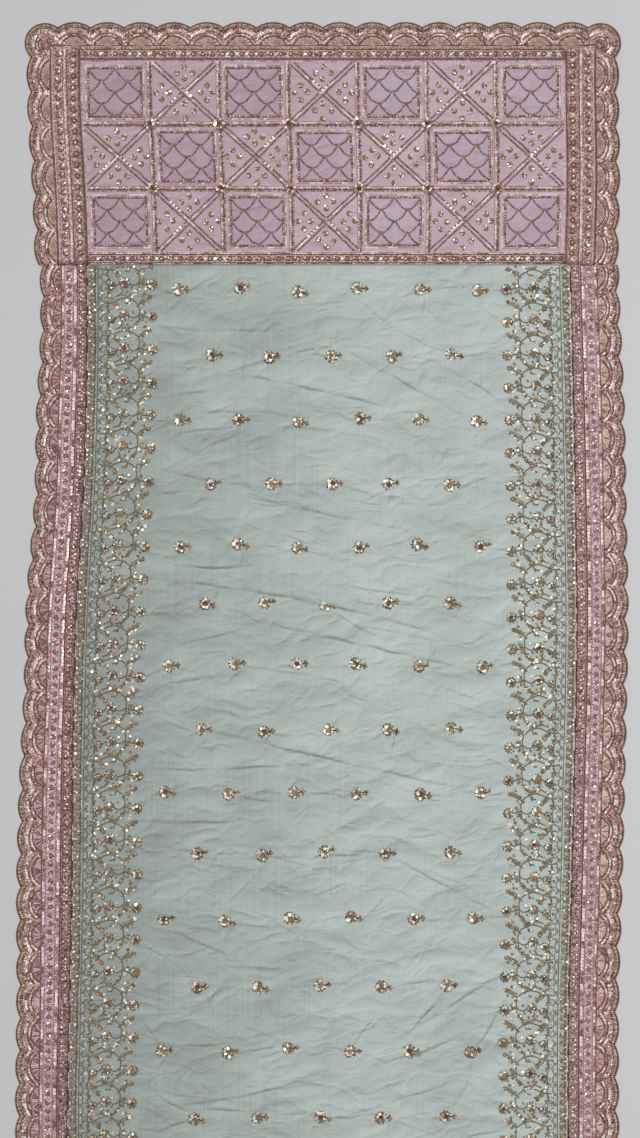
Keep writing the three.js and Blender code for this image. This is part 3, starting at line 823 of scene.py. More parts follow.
    def rings(self, spots, radius, width, height, material, sides):
        spots = spots.reshape(-1, 1, 3)
        turn = 2 * np.pi * np.arange(sides) / sides
        self.cord(spots + radius * heading(turn), width, height, material, closed=True)

    def flowers(self, spots, radius, petals, petal_material, heart_material, height, lift):
        """Petals round a small rosette. They turn by a random part of a petal."""
        spots = spots.reshape(-1, 3)
        start = self.random.uniform(0, 1, len(spots))
        for k in range(petals):
            reach = heading(2 * np.pi * (k + start) / petals)
            size = radius * self.random.uniform(0.85, 1.1, (len(spots), 1))
            feet, tips = spots + 0.22 * size * reach, spots + size * reach
            width = 1.7 * np.pi * radius / petals
            self.leaves(feet, tips, width, height, petal_material, lift)
        self.stars(spots, 0.45 * radius, height * 1.3, heart_material, lift)

    def glints(self, spots, reach, count, radius, lift, lean=None):
        """Bright sequins round each spot, at up to a reach from it."""
        spots = spots.reshape(-1, 3)
        for _ in range(count):
            turn = self.random.uniform(0, 2 * np.pi, len(spots))
            if lean is not None:
                turn = lean + self.random.normal(0, 0.7, len(spots))
            r = reach * self.random.uniform(0.45, 1, len(spots))
            size = radius * self.random.uniform(0.7, 1.2, len(spots))
            places = spots + r[:, None] * heading(turn)
            self.sequins(places, size, self.sparkle, tilt=0.2, lift=lift)

    def pads(self, rims, hubs, height, material):
        """Solid fans: rims (rows, places, 3) raised towards their hubs (rows, 3)."""
        rows, count = rims.shape[:2]
        points = np.concatenate([flat(rims), flat(hubs)[:, None] + [0, 0, height]], 1)
        top, base = hub_faces(count)
        if facing_up(points[0], top) is not top:
            top, base = top[:, ::-1], base[:, ::-1]
        blocks = copied((top, base), rows, count + 1)
        self.add(points.reshape(-1, 3), blocks, material, False)

    def piece(self, name, record_slot):
        points = np.concatenate(self.points)
        slots, shading = np.concatenate(self.slots), np.concatenate(self.shading)
        return new_piece(name, points, self.faces, slots, self.materials, shading)


# ---- Finishes ----
def linear(r, g, b):
    """A colour socket's value from red, green and blue out of 255, as on a screen."""
    parts = np.array([r, g, b]) / 255
    return (*np.where(parts < 0.04045, parts / 12.92, ((parts + 0.055) / 1.055) ** 2.4), 1)


class Finish:
    """A material whose colour, roughness and relief come from patterns in the cloth's own place."""

    def __init__(self, name, roughness, metallic=0.0, **sockets):
        self.material = bpy.data.materials.new(name)
        self.material.use_nodes = True
        self.nodes, self.links = self.material.node_tree.nodes, self.material.node_tree.links
        self.shader = self.nodes["Principled BSDF"]
        self.shader.inputs["Roughness"].default_value = roughness
        self.shader.inputs["Metallic"].default_value = metallic
        for socket, value in sockets.items():
            self.shader.inputs[socket.replace("_", " ")].default_value = value
        self.place = self.nodes.new("ShaderNodeTexCoord").outputs["Object"]

    def stretched(self, stretch):
        node = self.nodes.new("ShaderNodeMapping")
        node.inputs["Scale"].default_value = stretch
        self.links.new(self.place, node.inputs["Vector"])
        return node.outputs["Vector"]

    def pattern(self, kind, stretch, values, **settings):
        """A pattern with so many cells a metre along each axis."""
        node = self.nodes.new("ShaderNodeTex" + kind)
        for setting, value in settings.items():
            setattr(node, setting, value)
        for socket, value in {"Scale": 1.0, **values}.items():
            node.inputs[socket].default_value = value
        self.links.new(self.stretched(stretch), node.inputs["Vector"])
        return node

    def noise(self, stretch, detail):
        return self.pattern("Noise", stretch, {"Detail": detail}).outputs["Fac"]

    def ridges(self, stretch):
        """Crumpled cloth: a network of soft creases."""
        values = {"Detail": 2.5, "Roughness": 0.5, "Distortion": 0.6, "Offset": 0.9, "Gain": 2.0}
        node = self.pattern("Noise", stretch, values, noise_type="RIDGED_MULTIFRACTAL")
        return node.outputs["Fac"]

    def stripes(self, stretch, direction, distortion):
        values = {"Distortion": distortion}
        return self.pattern("Wave", stretch, values, bands_direction=direction).outputs["Fac"]

    def cells(self, scale):
        """Round cells: the distance from each one's middle, and its own tone."""
        node = self.pattern("Voronoi", (scale, scale, 1), {})
        split = self.nodes.new("ShaderNodeSeparateColor")
        self.links.new(node.outputs["Color"], split.inputs[0])
        return node.outputs["Distance"], split.outputs[0]

    def across(self):
        """Metres to the right of the frame's middle."""
        split = self.nodes.new("ShaderNodeSeparateXYZ")
        self.links.new(self.place, split.inputs[0])
        return split.outputs["X"]

    def math(self, operation, a, b):
        node = self.nodes.new("ShaderNodeMath")
        node.operation = operation
        for socket, value in zip(node.inputs, (a, b)):
            if isinstance(value, (int, float)):
                socket.default_value = value
            else:
                self.links.new(value, socket)
        return node.outputs[0]

    def ramp(self, fac, stops, stepped=False):
        """Colours at places 0 to 1 along a pattern."""
        node = self.nodes.new("ShaderNodeValToRGB")
        elements = node.color_ramp.elements
        node.color_ramp.interpolation = "CONSTANT" if stepped else "LINEAR"
        while len(elements) < len(stops):
            elements.new(0.5)
        for element, (place, colour) in zip(elements, stops):
            element.position, element.color = place, linear(*colour)
        self.links.new(fac, node.inputs["Fac"])
        return node.outputs["Color"]

    def colour(self, output):
        self.links.new(output, self.shader.inputs["Base Color"])

    def relief(self, fac, depth, strength):
        """Small relief in the shading, depth in metres."""
        node = self.nodes.new("ShaderNodeBump")
        node.inputs["Strength"].default_value = strength
        node.inputs["Distance"].default_value = depth
        self.links.new(fac, node.inputs["Height"])
        self.links.new(node.outputs["Normal"], self.shader.inputs["Normal"])

    def rough(self, fac, low, high):
        """Roughness from low to high along a pattern."""
        node = self.nodes.new("ShaderNodeMapRange")
        node.inputs["To Min"].default_value, node.inputs["To Max"].default_value = low, high
        self.links.new(fac, node.inputs["Value"])
        self.links.new(node.outputs["Result"], self.shader.inputs["Roughness"])


def net_finish(name, deep, dark, middle, light):
    """Fine net, faintly streaked and crumpled, with soft clouds of colour, and painted shade that
    deepens it to the left.
    """
    f = Finish(name, 0.6, Sheen_Weight=0.2, Sheen_Roughness=0.4, Specular_IOR_Level=0.3)
    upright, cloud = f.noise((420, 5, 1), 2.0), f.noise((6, 9, 1), 3.0)
    crumple = f.math("ADD", f.math("MULTIPLY", f.ridges((17, 27, 1)), 0.5), f.ridges((6, 10, 1)))
    tone = f.math("ADD", f.math("MULTIPLY", upright, 0.25), f.math("MULTIPLY", cloud, 0.45))
    # Painted shade: left of x = 0.12 m the tone sinks towards the deep colour, standing in for
    # light that falls off to the left.
    painted_shade_leftward = f.math("MAXIMUM", f.math("SUBTRACT", 0.12, f.across()), 0.0)
    tone = f.math("SUBTRACT", tone, f.math("MULTIPLY", painted_shade_leftward, 0.6))
    f.colour(f.ramp(tone, [(0.0, deep), (0.25, dark), (0.35, middle), (0.45, light)]))
    f.relief(f.math("ADD", crumple, f.math("MULTIPLY", upright, 0.05)), 0.0036, 0.85)
    return f.material


def beaded_finish(name, tones, scale, metallic=0.3, roughness=0.42):
    """Cloth under small beads and sequins, each of one tone out of (share from, colour)."""
    f = Finish(name, roughness, metallic, Specular_IOR_Level=0.5)
    away, tone = f.cells(scale)
    patches = f.math("MULTIPLY", f.math("SUBTRACT", f.noise((40, 40, 1), 3.0), 0.5), 0.7)
    f.colour(f.ramp(f.math("ADD", tone, patches), tones, stepped=True))
    f.relief(f.math("SUBTRACT", 1.0, away), 0.0014, 0.9)
    return f.material


def thread_finish(name, dark, light, metallic, roughness, twist=420):
    """Metal thread wound round a core: slanting turns, with painted shade that darkens the grooves
    between them.
    """
    f = Finish(name, roughness, metallic)
    turns = f.stripes((twist, twist, 1), "DIAGONAL", 0.6)
    wear = f.noise((160, 160, 1), 3.0)
    mixed = f.math("ADD", f.math("MULTIPLY", turns, 0.4), f.math("MULTIPLY", wear, 0.6))
    # Painted shade: the colour follows the turns, darker in their grooves, mixed with random wear.
    f.colour(f.ramp(mixed, [(0.28, dark), (0.72, light)]))
    f.relief(turns, 0.0004, 0.5)
    return f.material


def sequin_finish(name, dark, light, roughness, metallic):
    """Shiny foil, no two sequins quite the same tone."""
    f = Finish(name, roughness, metallic)
    f.colour(f.ramp(f.noise((170, 170, 1), 1.0), [(0.38, dark), (0.62, light)]))
    f.rough(f.noise((90, 90, 1), 1.0), roughness * 0.7, roughness * 1.6)
    return f.material


# Each net's first colour is its painted shade, which its left side sinks towards.
MINT = net_finish("mint_net", (142, 149, 144), (166, 175, 169), (173, 182, 177), (179, 188, 183))
SEAM_NET = net_finish(
    "seam_net", (138, 136, 124), (158, 156, 142), (164, 162, 148), (172, 170, 157))
LILAC = net_finish("lilac_net", (174, 152, 161), (179, 157, 166), (185, 163, 173), (193, 172, 181))
WINDOW_NET = net_finish(
    "lilac_net_windows", (162, 141, 152), (170, 150, 162), (177, 157, 170), (185, 166, 178))
STRIP = beaded_finish("lilac_strip", [
    (0, (156, 124, 130)), (0.26, (182, 154, 164)), (0.6, (194, 168, 180)),
    (0.9, (222, 202, 206))], 330, 0.1, 0.5)
BORDER_GROUND = beaded_finish("border_ground", [
    (0, (106, 74, 65)), (0.24, (148, 109, 99)), (0.48, (174, 137, 129)), (0.7, (200, 167, 160)),
    (0.9, (240, 224, 214))], 370)
PALLU_GROUND = beaded_finish("pallu_border_ground", [
    (0, (108, 78, 66)), (0.22, (146, 112, 98)), (0.46, (174, 142, 130)), (0.7, (200, 172, 160)),
    (0.93, (236, 220, 208))], 370)
# Painted shade: the left tape's ground is a darker copy of the right tape's, for light that falls
# off to the left.
TAPE_GROUND = {
    "left": beaded_finish("tape_ground", [
        (0, (84, 56, 50)), (0.32, (120, 86, 78)), (0.58, (150, 113, 106)), (0.8, (184, 146, 140)),
        (0.94, (228, 206, 200))], 430),
    "right": beaded_finish("tape_ground_right", [
        (0, (96, 68, 62)), (0.26, (136, 104, 96)), (0.5, (166, 132, 124)), (0.74, (196, 162, 156)),
        (0.92, (234, 214, 208))], 430),
}
SIDE_GROUND = beaded_finish("pallu_tape_ground", [
    (0, (128, 92, 88)), (0.22, (160, 126, 124)), (0.5, (184, 152, 154)), (0.8, (206, 178, 178)),
    (0.95, (232, 214, 208))], 360, 0.15, 0.5)
BEIGE_GROUND = beaded_finish("cross_tape_ground", [
    (0, (110, 78, 68)), (0.22, (146, 112, 102)), (0.48, (174, 142, 132)), (0.78, (202, 174, 162)),
    (0.95, (232, 214, 204))], 400, 0.2, 0.5)
BROWN = thread_finish("brown_cord", (98, 64, 58), (150, 108, 98), 0.3, 0.45)
LATTICE_BROWN = thread_finish("lattice_cord", (110, 78, 72), (172, 132, 123), 0.25, 0.45)
KHAKI = thread_finish("khaki_cord", (138, 108, 86), (196, 166, 140), 0.35, 0.42)
CREAM = thread_finish("cream_cord", (196, 172, 156), (240, 224, 208), 0.2, 0.4)
ROSE = thread_finish("rose_bead", (158, 120, 118), (210, 172, 168), 0.4, 0.4)
VINE = thread_finish("vine_cord", (96, 90, 72), (138, 130, 106), 0.25, 0.5)
LEAF_KHAKI = thread_finish("khaki_leaf", (112, 100, 76), (176, 162, 132), 0.3, 0.42, 300)
SATIN = thread_finish("satin_fan", (174, 141, 126), (222, 193, 178), 0.25, 0.38, 900)
ROSE_SATIN = thread_finish("rose_fan", (132, 97, 94), (186, 148, 144), 0.25, 0.4, 900)
BRONZE = thread_finish("bronze_leaf", (92, 80, 61), (146, 130, 105), 0.35, 0.42, 300)
GOLD = thread_finish("gold_bead", (118, 94, 67), (180, 153, 118), 0.45, 0.36, 300)
ANTIQUE = thread_finish("antique_bead", (124, 89, 64), (186, 147, 112), 0.4, 0.4, 300)
DARK = thread_finish("dark_bead", (74, 50, 42), (116, 84, 72), 0.4, 0.4, 300)
# Pale sequins: their near-white colour is partly their own and partly a painted highlight, so they
# read bright whatever they reflect.
PEARL_AND_HIGHLIGHT = sequin_finish("sequin_pearl_and_highlight", (226, 210, 204), (254, 246, 242), 0.28, 0.2)
CREAM_AND_HIGHLIGHT = sequin_finish("sequin_cream_and_highlight", (214, 205, 186), (250, 244, 230), 0.28, 0.2)
SEQUIN_LIGHT = sequin_finish("sequin_champagne", (218, 200, 188), (248, 236, 226), 0.2, 0.85)
SEQUIN_ROSE = sequin_finish("sequin_rose", (172, 132, 126), (220, 184, 178), 0.25, 0.7)
SEQUIN_GOLD = sequin_finish("sequin_gold", (168, 143, 112), (226, 207, 180), 0.26, 0.7)
# BRIGHT and CREAMY mix these part-painted highlights with metal sequins whose shine is real
# reflection.
BRIGHT = [PEARL_AND_HIGHLIGHT, PEARL_AND_HIGHLIGHT, SEQUIN_LIGHT]
CREAMY = [CREAM_AND_HIGHLIGHT, CREAM_AND_HIGHLIGHT, SEQUIN_LIGHT]
DULL = [SEQUIN_ROSE, ROSE, ROSE, BROWN]
LEAF_TONES = [GOLD, *3 * [LEAF_KHAKI], *4 * [BRONZE], CREAM_AND_HIGHLIGHT]


# ---- Cloth ----
def chain_steps(border, per_scallop):
    """Places along a border, so many a scallop."""
    count = round((border.ends[1] - border.ends[0]) / border.pitch * per_scallop)
    return np.linspace(*border.ends, count + 1)


def outline(border, u):
    """Depth of the scalloped edge at u."""
    share = ((u - border.origin) / border.pitch) % 1
    return border.rise - arc_rise(share, border.pitch, border.rise)


def ruled(chains, counts, domes, fan):
    """Spots between neighbouring chains of (x, s, depth), puffed over each scallop's fan."""
    blocks = []
    for outer, inner, count in zip(chains, chains[1:], counts):
        share = (np.arange(count) / count)[None, :, None]
        blocks.append(outer[:, None] * (1 - share) + inner[:, None] * share)
    spots = np.concatenate([*blocks, chains[-1][:, None]], 1)
    puff = np.exp(-(((spots[..., 2] - fan["at"]) / fan["reach"]) ** 2))
    spots[..., 2] = WALL + domes[:, None] * fan["dome"] * puff
    return spots


def scallop_domes(border, u):
    return np.abs(np.sin(np.pi * (u - border.origin) / border.pitch))


def chain(places, depth):
    return np.column_stack([places, np.broadcast_to(depth, len(places))])


def border_cloth(border, side, name, node):
    """Scalloped outside, a plain lilac strip under the dots, and the join under the tape."""
    u = chain_steps(border, 10)
    one = np.ones(len(u))
    chains = [chain(border.place(u, depth), depth) for depth in (
        outline(border, u), STRIP_SPAN[0] * one, STRIP_SPAN[1] * one)]
    inner = np.stack([body_join(side, u) + OUT[side] * SEAM / 2, u], -1)
    spots = ruled([*chains, chain(inner, BORDER_DEPTH)], (6, 1, 1), scallop_domes(border, u), FAN)
    return cloth_piece(name, spots, 0.0, [BORDER_GROUND, STRIP], node,
                       bands=[0] * 6 + [1, 0])


def pallu_side_cloth(border, side):
    t = np.linspace(0.5, 1, 9)[:-1]
    u = chain_steps(border, 12)
    outer = np.concatenate([lobe_outline(side, t), border.place(u, outline(border, u))])
    down = np.concatenate([np.interp(t, [0.5, 1], [TOP_JOIN, u[0]]), u])
    inner = np.stack([pallu_join(side, down) + OUT[side] * SEAM / 2, down], -1)
    domes = np.concatenate([np.sin(np.pi * t), scallop_domes(border, u)])
    spots = ruled([chain(outer, 0), chain(inner, SIDE_FAN["join"])], (8,), domes, SIDE_FAN)
    return cloth_piece("pallu_border_" + side, spots, 0.0, [PALLU_GROUND],
                       "pallu_edge_" + side)


def pallu_top_cloth(border):
    t = np.linspace(0.5, 0, 9)[:-1]
    u = chain_steps(border, 12)
    left, right = lobe_outline("left", t), lobe_outline("right", t)[::-1]
    outer = np.concatenate([left, border.place(u, outline(border, u)), right])
    x = np.concatenate([
        np.interp(t, [0, 0.5], [u[0], corner_join("left")]), u,
        np.interp(t[::-1], [0, 0.5], [u[-1], corner_join("right")]),
    ])
    inner = np.stack([x, np.full(len(x), TOP_JOIN - SEAM / 2)], -1)
    lobe_dome = np.sin(np.pi * t)
    domes = np.concatenate([lobe_dome, scallop_domes(border, u), lobe_dome[::-1]])
    spots = ruled([chain(outer, 0), chain(inner, TOP_JOIN)], (8,), domes, FAN)
    return cloth_piece("pallu_border_top", spots, 0.0, [PALLU_GROUND],
                       "pallu_edge_top")


def tape_cloth(name, node, edges, materials, bands=0):
    """A crowned tape between two chains of places (count, 2)."""
    across = np.linspace(0, 1, 8)
    places = edges[0][:, None] * (1 - across[:, None]) + edges[1][:, None] * across[:, None]
    z = np.broadcast_to(tape_top(across), places.shape[:2])[..., None]
    spots = np.concatenate([places, z], -1)
    return cloth_piece(name, spots, TAPE_LOW, materials, node, bands=bands)


def body_tape_cloth(side):
    s = np.linspace(PALLU_END + SEAM, LENGTH, 170)
    seam = body_seam(side, s)
    edges = [np.stack([seam + OUT[side] * BODY_TAPE * k, s], -1) for k in (1, 0)]
    return tape_cloth("tape_" + side, "band_" + side, edges, [TAPE_GROUND[side]])


def pallu_tape_cloth(side):
    """Two strips in one: lilac under the dots and beige under the rosettes."""
    s = np.linspace(CORNER["depth"], PALLU_END, 40)
    edges = [np.stack([pallu_tip(side, s) - OUT[side] * d, s], -1) for d in PALLU_TAPE]
    return tape_cloth("pallu_tape_" + side, "pallu_band_" + side, edges,
                      [SIDE_GROUND, BEIGE_GROUND], bands=[0, 0, 0, 0, 1, 1, 1])


def cross_tape_cloth(name, node, span, inset, tips, material):
    """A tape across the cloth, between the tapes or borders at its two sides."""
    edges = []
    for s in span:
        ends = [tips("left", s) + inset, tips("right", s) - inset]
        edges.append(np.stack([np.linspace(*ends, 80), np.full(80, float(s))], -1))
    return tape_cloth(name, node, edges, [material])


# The net's mesh: its grid, how close its other points are, and how far each point of the
# coarse underside looks round it for the lowest place.
NET = {"columns": 96, "near_rows": 184, "far_rows": 212, "coarse": 4, "rim_gap": 7}
SPACING = {"crease": 1.7, "grid": 4.0}
AROUND = {"x": np.linspace(-15, 15, 13), "s": np.linspace(-20, 20, 17)}


def cell_numbers(places, size):
    """One number for each square cell of a size that the places lie in."""
    cells = np.floor(places / size).astype(np.int64) + 10000
    return cells[:, 0] * 100000 + cells[:, 1]


def body_net_cloth(crease_places):
    """The net as a closed thin wall. Its upper face has closer points along the creases."""
    near = np.linspace(NET_SEAM + SEAM, NEAR_END, NET["near_rows"] + 1)
    far = np.linspace(NEAR_END, LENGTH, NET["far_rows"] + 1)[1:]
    s = np.concatenate([near, far])[:, None]
    share = np.linspace(0, 1, NET["columns"] + 1)
    ends = [body_join("left", s) + SEAM / 2, body_join("right", s) - SEAM / 2]
    x, s = np.broadcast_arrays(ends[0] * (1 - share) + ends[1] * share, s)
    grid = np.stack([x, s], -1)

    extra, gap = crease_places, NET["rim_gap"]
    left, right = body_join("left", extra[:, 1]) + gap, body_join("right", extra[:, 1]) - gap
    inside = (extra[:, 0] > left) & (extra[:, 0] < right)
    inside &= (extra[:, 1] > NET_SEAM + gap) & (extra[:, 1] < LENGTH - gap)
    extra = extra[inside]
    first = np.unique(cell_numbers(extra, SPACING["crease"]), return_index=True)[1]
    extra = extra[np.sort(first)]
    rim = grid_rim(*grid.shape[:2])
    flat_grid = grid.reshape(-1, 2)
    kept = ~np.isin(cell_numbers(flat_grid, SPACING["grid"]), cell_numbers(extra, SPACING["grid"]))
    kept[rim] = True
    places = np.concatenate([flat_grid[kept], extra])
    rim = (np.cumsum(kept) - 1)[rim]
    found = delaunay_2d_cdt([Vector(p) for p in places], [], [rim.tolist()], 1, 1e-5, False)[2]
    triangles, rows = np.array(found), grid[:, 0, 1]
    across, down = places[triangles].mean(1).T
    left, right = [np.interp(down, rows, grid[:, k, 0]) for k in (0, -1)]
    triangles = triangles[(across > left) & (across < right)]

    step = NET["coarse"]
    under = grid[::step, ::step]
    low = np.full(under.shape[:2], np.inf)
    for dx in AROUND["x"]:
        for ds in AROUND["s"]:
            low = np.minimum(low, net_height(under[..., 0] + dx, under[..., 1] + ds))
    under = np.concatenate([under, low[..., None]], -1)
    return closed_wall("mint_net_cloth", on_net(*places.T), triangles, rim, under, step, [MINT], 0,
                       "body_net")


def field_row(b):
    """s on the pallu's field, b squares down."""
    return TOP_TAPE[1] + (BOTTOM_TAPE[0] - TOP_TAPE[1]) * b / LATTICE["rows"]


def field_sides(s):
    return [pallu_tip(side, s) - OUT[side] * PALLU_TAPE[1] for side in ("left", "right")]


def field_place(a, b):
    """(x, s) on the pallu's field: a squares across from the left, b squares down."""
    a, b = matched(a, b)
    s = field_row(b)
    left, right = field_sides(s)
    return np.stack([left + (right - left) * a / LATTICE["columns"], s], -1)


def pallu_height(x, s):
    """The pallu's upper face: raised at its lattice, a little slack between."""
    left, right = field_sides(s)
    a = (x - left) / (right - left) * LATTICE["columns"]
    b = (s - TOP_TAPE[1]) / (BOTTOM_TAPE[0] - TOP_TAPE[1]) * LATTICE["rows"]
    ridge = np.zeros(np.broadcast(x, s).shape)
    for value, count, square in (
        (a, LATTICE["columns"], SQUARE["across"]), (b, LATTICE["rows"], SQUARE["down"]),
    ):
        nearest = np.clip(np.round(value), 1, count - 1)
        away = (value - nearest) * square
        ridge = np.maximum(ridge, np.exp(-((away / LATTICE["width"]) ** 2)))
    inside = smooth(0, 0.12, np.minimum(np.minimum(a, LATTICE["columns"] - a),
                                       np.minimum(b, LATTICE["rows"] - b)))
    slack = np.abs(np.sin(np.pi * a) * np.sin(np.pi * b))
    ripple = np.sin(x / 23 + 2 * np.sin(s / 61)) * np.sin(s / 31 + 1.4 * np.sin(x / 47))
    return WALL + inside * (LATTICE["ridge"] * ridge + slack * (0.55 + 0.35 * ripple))


def on_pallu(a, b):
    place = field_place(a, b)
    return np.concatenate([place, pallu_height(place[..., 0], place[..., 1])[..., None]], -1)


def lattice_shares(count, window):
    """Shares along the lattice, closer at its lines, with the window's edges among them."""
    low, high = window
    inner = np.linspace(low, high, 9)
    square = np.array([0, 0.022, 0.045, 0.075, *inner, 1 - 0.075, 1 - 0.045, 1 - 0.022])
    return np.append((np.arange(count)[:, None] + square).ravel(), count)


def pallu_net_cloth():
    """The pallu's net, deeper in tone inside its windows."""
    a = lattice_shares(LATTICE["columns"], (WINDOW["left"], WINDOW["right"]))
    b = lattice_shares(LATTICE["rows"], (WINDOW["top"], WINDOW["bottom"]))
    s = field_row(b)
    above = np.linspace(TOP_JOIN + SEAM / 2, s[0], 4)[:-1]
    below = np.linspace(s[-1], NET_SEAM, 5)[1:]
    s = np.concatenate([above, s, below])[:, None]
    left, right = field_sides(s)
    seams = pallu_join("left", s) + SEAM / 2, pallu_join("right", s) - SEAM / 2
    edge = np.linspace(0, 1, 4)
    x = np.concatenate([
        seams[0] + (left - seams[0]) * edge[:-1], left + (right - left) * a / LATTICE["columns"],
        right + (seams[1] - right) * edge[1:],
    ], 1)
    x, s = np.broadcast_arrays(x, s)
    middle_a, middle_b = [(value[1:] + value[:-1]) / 2 for value in (a, b)]
    in_column = (middle_a % 1 > WINDOW["left"]) & (middle_a % 1 < WINDOW["right"])
    in_row = (middle_b % 1 > WINDOW["top"]) & (middle_b % 1 < WINDOW["bottom"])
    even = (middle_a[None].astype(int) + middle_b[:, None].astype(int)) % 2 == 0
    bands = np.zeros((x.shape[0] - 1, x.shape[1] - 1), int)
    bands[3:-4, 3:-3] = in_row[:, None] & in_column[None] & even
    spots = np.stack([x, s, pallu_height(x, s)], -1)
    return cloth_piece("lilac_net_cloth", spots, 0.0, [LILAC, WINDOW_NET], "pallu_net",
                       2, bands)


# ---- Embroidery ----
def scallop_layers(work, border, satin, fine):
    """The rows of work over each scallop. arcs takes the depth at its tip and at its feet."""
    arcs, count = border.arcs, 11 if fine else 7
    work.cord(arcs(1.3, 9.3, 0, count), 2.4, 1.1, BROWN)
    work.cord(arcs(5.0, 13.0, 0, count), 5.2, 0.7, KHAKI)
    work.cord(arcs(9.8, 17.8, 0, count), 2.8, 1.1, BROWN)
    work.cord(arcs(27.0, 41.0, 0.09, count - 2), 2.4, 1.1, BROWN)
    rim = arcs(29.5, 42.6, 0.15, 9 if fine else 6)
    work.pads(rim, (rim[:, 0] + rim[:, -1]) / 2, 0.9, satin[0])
    if not fine:
        work.gleams(arcs(17.2, 26.6, 0.02, 8), 3.8, 1.0, BRIGHT, DULL)
        work.cord(arcs(21.6, 32.6, 0.04, 6), 2.0, 0.9, BROWN)
        return
    work.cord(arcs(21.2, 32.2, 0.03, count - 2), 2.0, 0.9, BROWN)
    hubs, tips = arcs(41.8, 42.4, 0.38, 9), arcs(30.6, 42.0, 0.17, 11)[:, 1:-1]
    work.leaves(hubs, tips, 1.5, 1.7, satin, 0.2, ROD)
    work.leaves(arcs(2.9, 10.9, 0.01, 19), arcs(7.4, 15.4, 0.01, 19), 1.5, 0.7,
                [CREAM, KHAKI, SATIN, BROWN], 0.5, ROD)
    work.knots(arcs(9.8, 17.8, 0.01, 17), 1.6, 1.0, [DARK, ROSE, SATIN], 0.8)
    work.knots(arcs(13.3, 21.6, 0.01, 17), 1.9, 1.3, [ROSE, PEARL_AND_HIGHLIGHT, BROWN, SATIN])
    work.gleams(arcs(17.2, 26.6, 0.015, 14), 4.2, 1.1, BRIGHT, DULL)
    work.gleams(arcs(24.4, 36.6, 0.05, 12), 3.0, 1.0, BRIGHT, DULL)


# Painted shade: the left border's fans and rings are darker than the right's, for light that falls
# off to the left.
BORDER_LOOK = {
    "left": {"seed": 21, "fan": [ROSE_SATIN, PEARL_AND_HIGHLIGHT, BROWN, PEARL_AND_HIGHLIGHT], "ring": BROWN},
    "right": {"seed": 22, "fan": [SATIN, BROWN, PEARL_AND_HIGHLIGHT, PEARL_AND_HIGHLIGHT], "ring": ROSE},
}
# Painted shade: the left tape's knots are a darker mix than the right's.
TAPE_LOOK = {
    "left": {"seed": 31, "knots": [DARK, BROWN, BROWN, ROSE, SATIN]},
    "right": {"seed": 32, "knots": [DARK, BROWN, ROSE, SATIN, SATIN]},
}


def body_border_work(side):
    look = BORDER_LOOK[side]
    work = Work(look["seed"])
    for border, fine in body_stretches(side):
        scallop_layers(work, border, look["fan"], fine)
        for depth, width, material in ((43.0, 2.4, BROWN), (50.0, 1.9, ROSE), (66.8, 1.9, ROSE),
                                       (75.2, 1.6, BROWN)):
            work.cord(border.line(depth), width, 0.9, material)
        length = 6.2 if fine else 9.5
        work.gleams(border.row(46.7, length)[None], 3.8, 1.0, BRIGHT, DULL)
        work.gleams(border.row(71.2, length)[None], 4.8, 1.0, BRIGHT, DULL)
        dots = border.row(58.6, 16)
        work.stars(dots, 4.9, 1.6, [ANTIQUE, ANTIQUE, KHAKI], unit=STAR if fine else SMALL_STAR)
        if fine:
            work.rings(dots, 4.9, 1.5, 0.9, look["ring"], 6)
            work.knots(dots, 1.9, 1.6, [ANTIQUE, SEQUIN_GOLD, DARK], 0.9)
            work.glints(dots, 6.5, 2, 1.7, 0.9)
            for depth in (53.4, 64.0):
                work.knots(border.row(depth, 5.3), 1.4, 1.0, [ROSE, CREAM, BROWN, STRIP])
    return work.piece(f"border_{side}_work", "scallop_embroidery")


def body_tape_work(side):
    look = TAPE_LOOK[side]
    work = Work(look["seed"])
    for border, fine in body_stretches(side):
        work.cord(border.line(77.6), 1.6, 0.8, ROSE)
        work.cord(border.line(94.4), 1.8, 0.9, DARK)
        rosettes = border.row(86.6, 15)
        work.rings(rosettes, 4.2, 2.0, 1.0, ROSE, 6 if fine else 5)
        work.knots(rosettes, 2.2, 1.4, [PEARL_AND_HIGHLIGHT, SEQUIN_ROSE, DARK])
        for depth in (80.9, 84.2, 89.2, 92.2) if fine else (81.5, 91.8):
            work.knots(border.row(depth, 4.4 if fine else 8), 1.8, 1.2, look["knots"])
        if fine:
            for depth, pitch, shift, radius, tones, lift in (
                (86.6, 7.5, 0.99, 1.9, [PEARL_AND_HIGHLIGHT, SEQUIN_ROSE, DARK, SEQUIN_ROSE], 0.4),
                (82.5, 9.0, 0.3, 1.7, [PEARL_AND_HIGHLIGHT, SEQUIN_ROSE, SEQUIN_ROSE], 0.7),
            ):
                work.sequins(border.row(depth, pitch, shift), radius, tones, lift=lift)
        work.gleams(border.row(96.1, 5.5 if fine else 10)[None], 1.8, 0.9, BRIGHT, [DARK, BROWN])
    return work.piece(f"tape_{side}_work", "beaded_tape")


def pallu_border_work():
    """Scallops and lobes, and the brown line inside them that turns square at the corners."""
    work, top = Work(41), pallu_top_border()
    satin = [SATIN, SATIN, KHAKI, ROSE_SATIN]
    scallop_layers(work, top, satin, True)
    corners = [lobe_centre(side)[0] - OUT[side] * 1.5 for side in OUT]
    x = np.linspace(min(corners), max(corners), 60)
    for s, width, material in ((44.6, 2.8, BROWN), (48.0, 1.6, CREAM)):
        work.cord(top.spots(x, s)[None], width, 1.1, material, waver=0.3)
    for side in OUT:
        border = pallu_side_border(side)
        scallop_layers(work, border, satin, True)
        scallop_layers(work, Lobe(side), satin, True)
        work.cord(border.spots(np.linspace(44.6, CORNER["depth"], 3), 43.4)[None], 2.6, 1.1, BROWN)
    return work.piece("pallu_border_work", "scallop_embroidery")


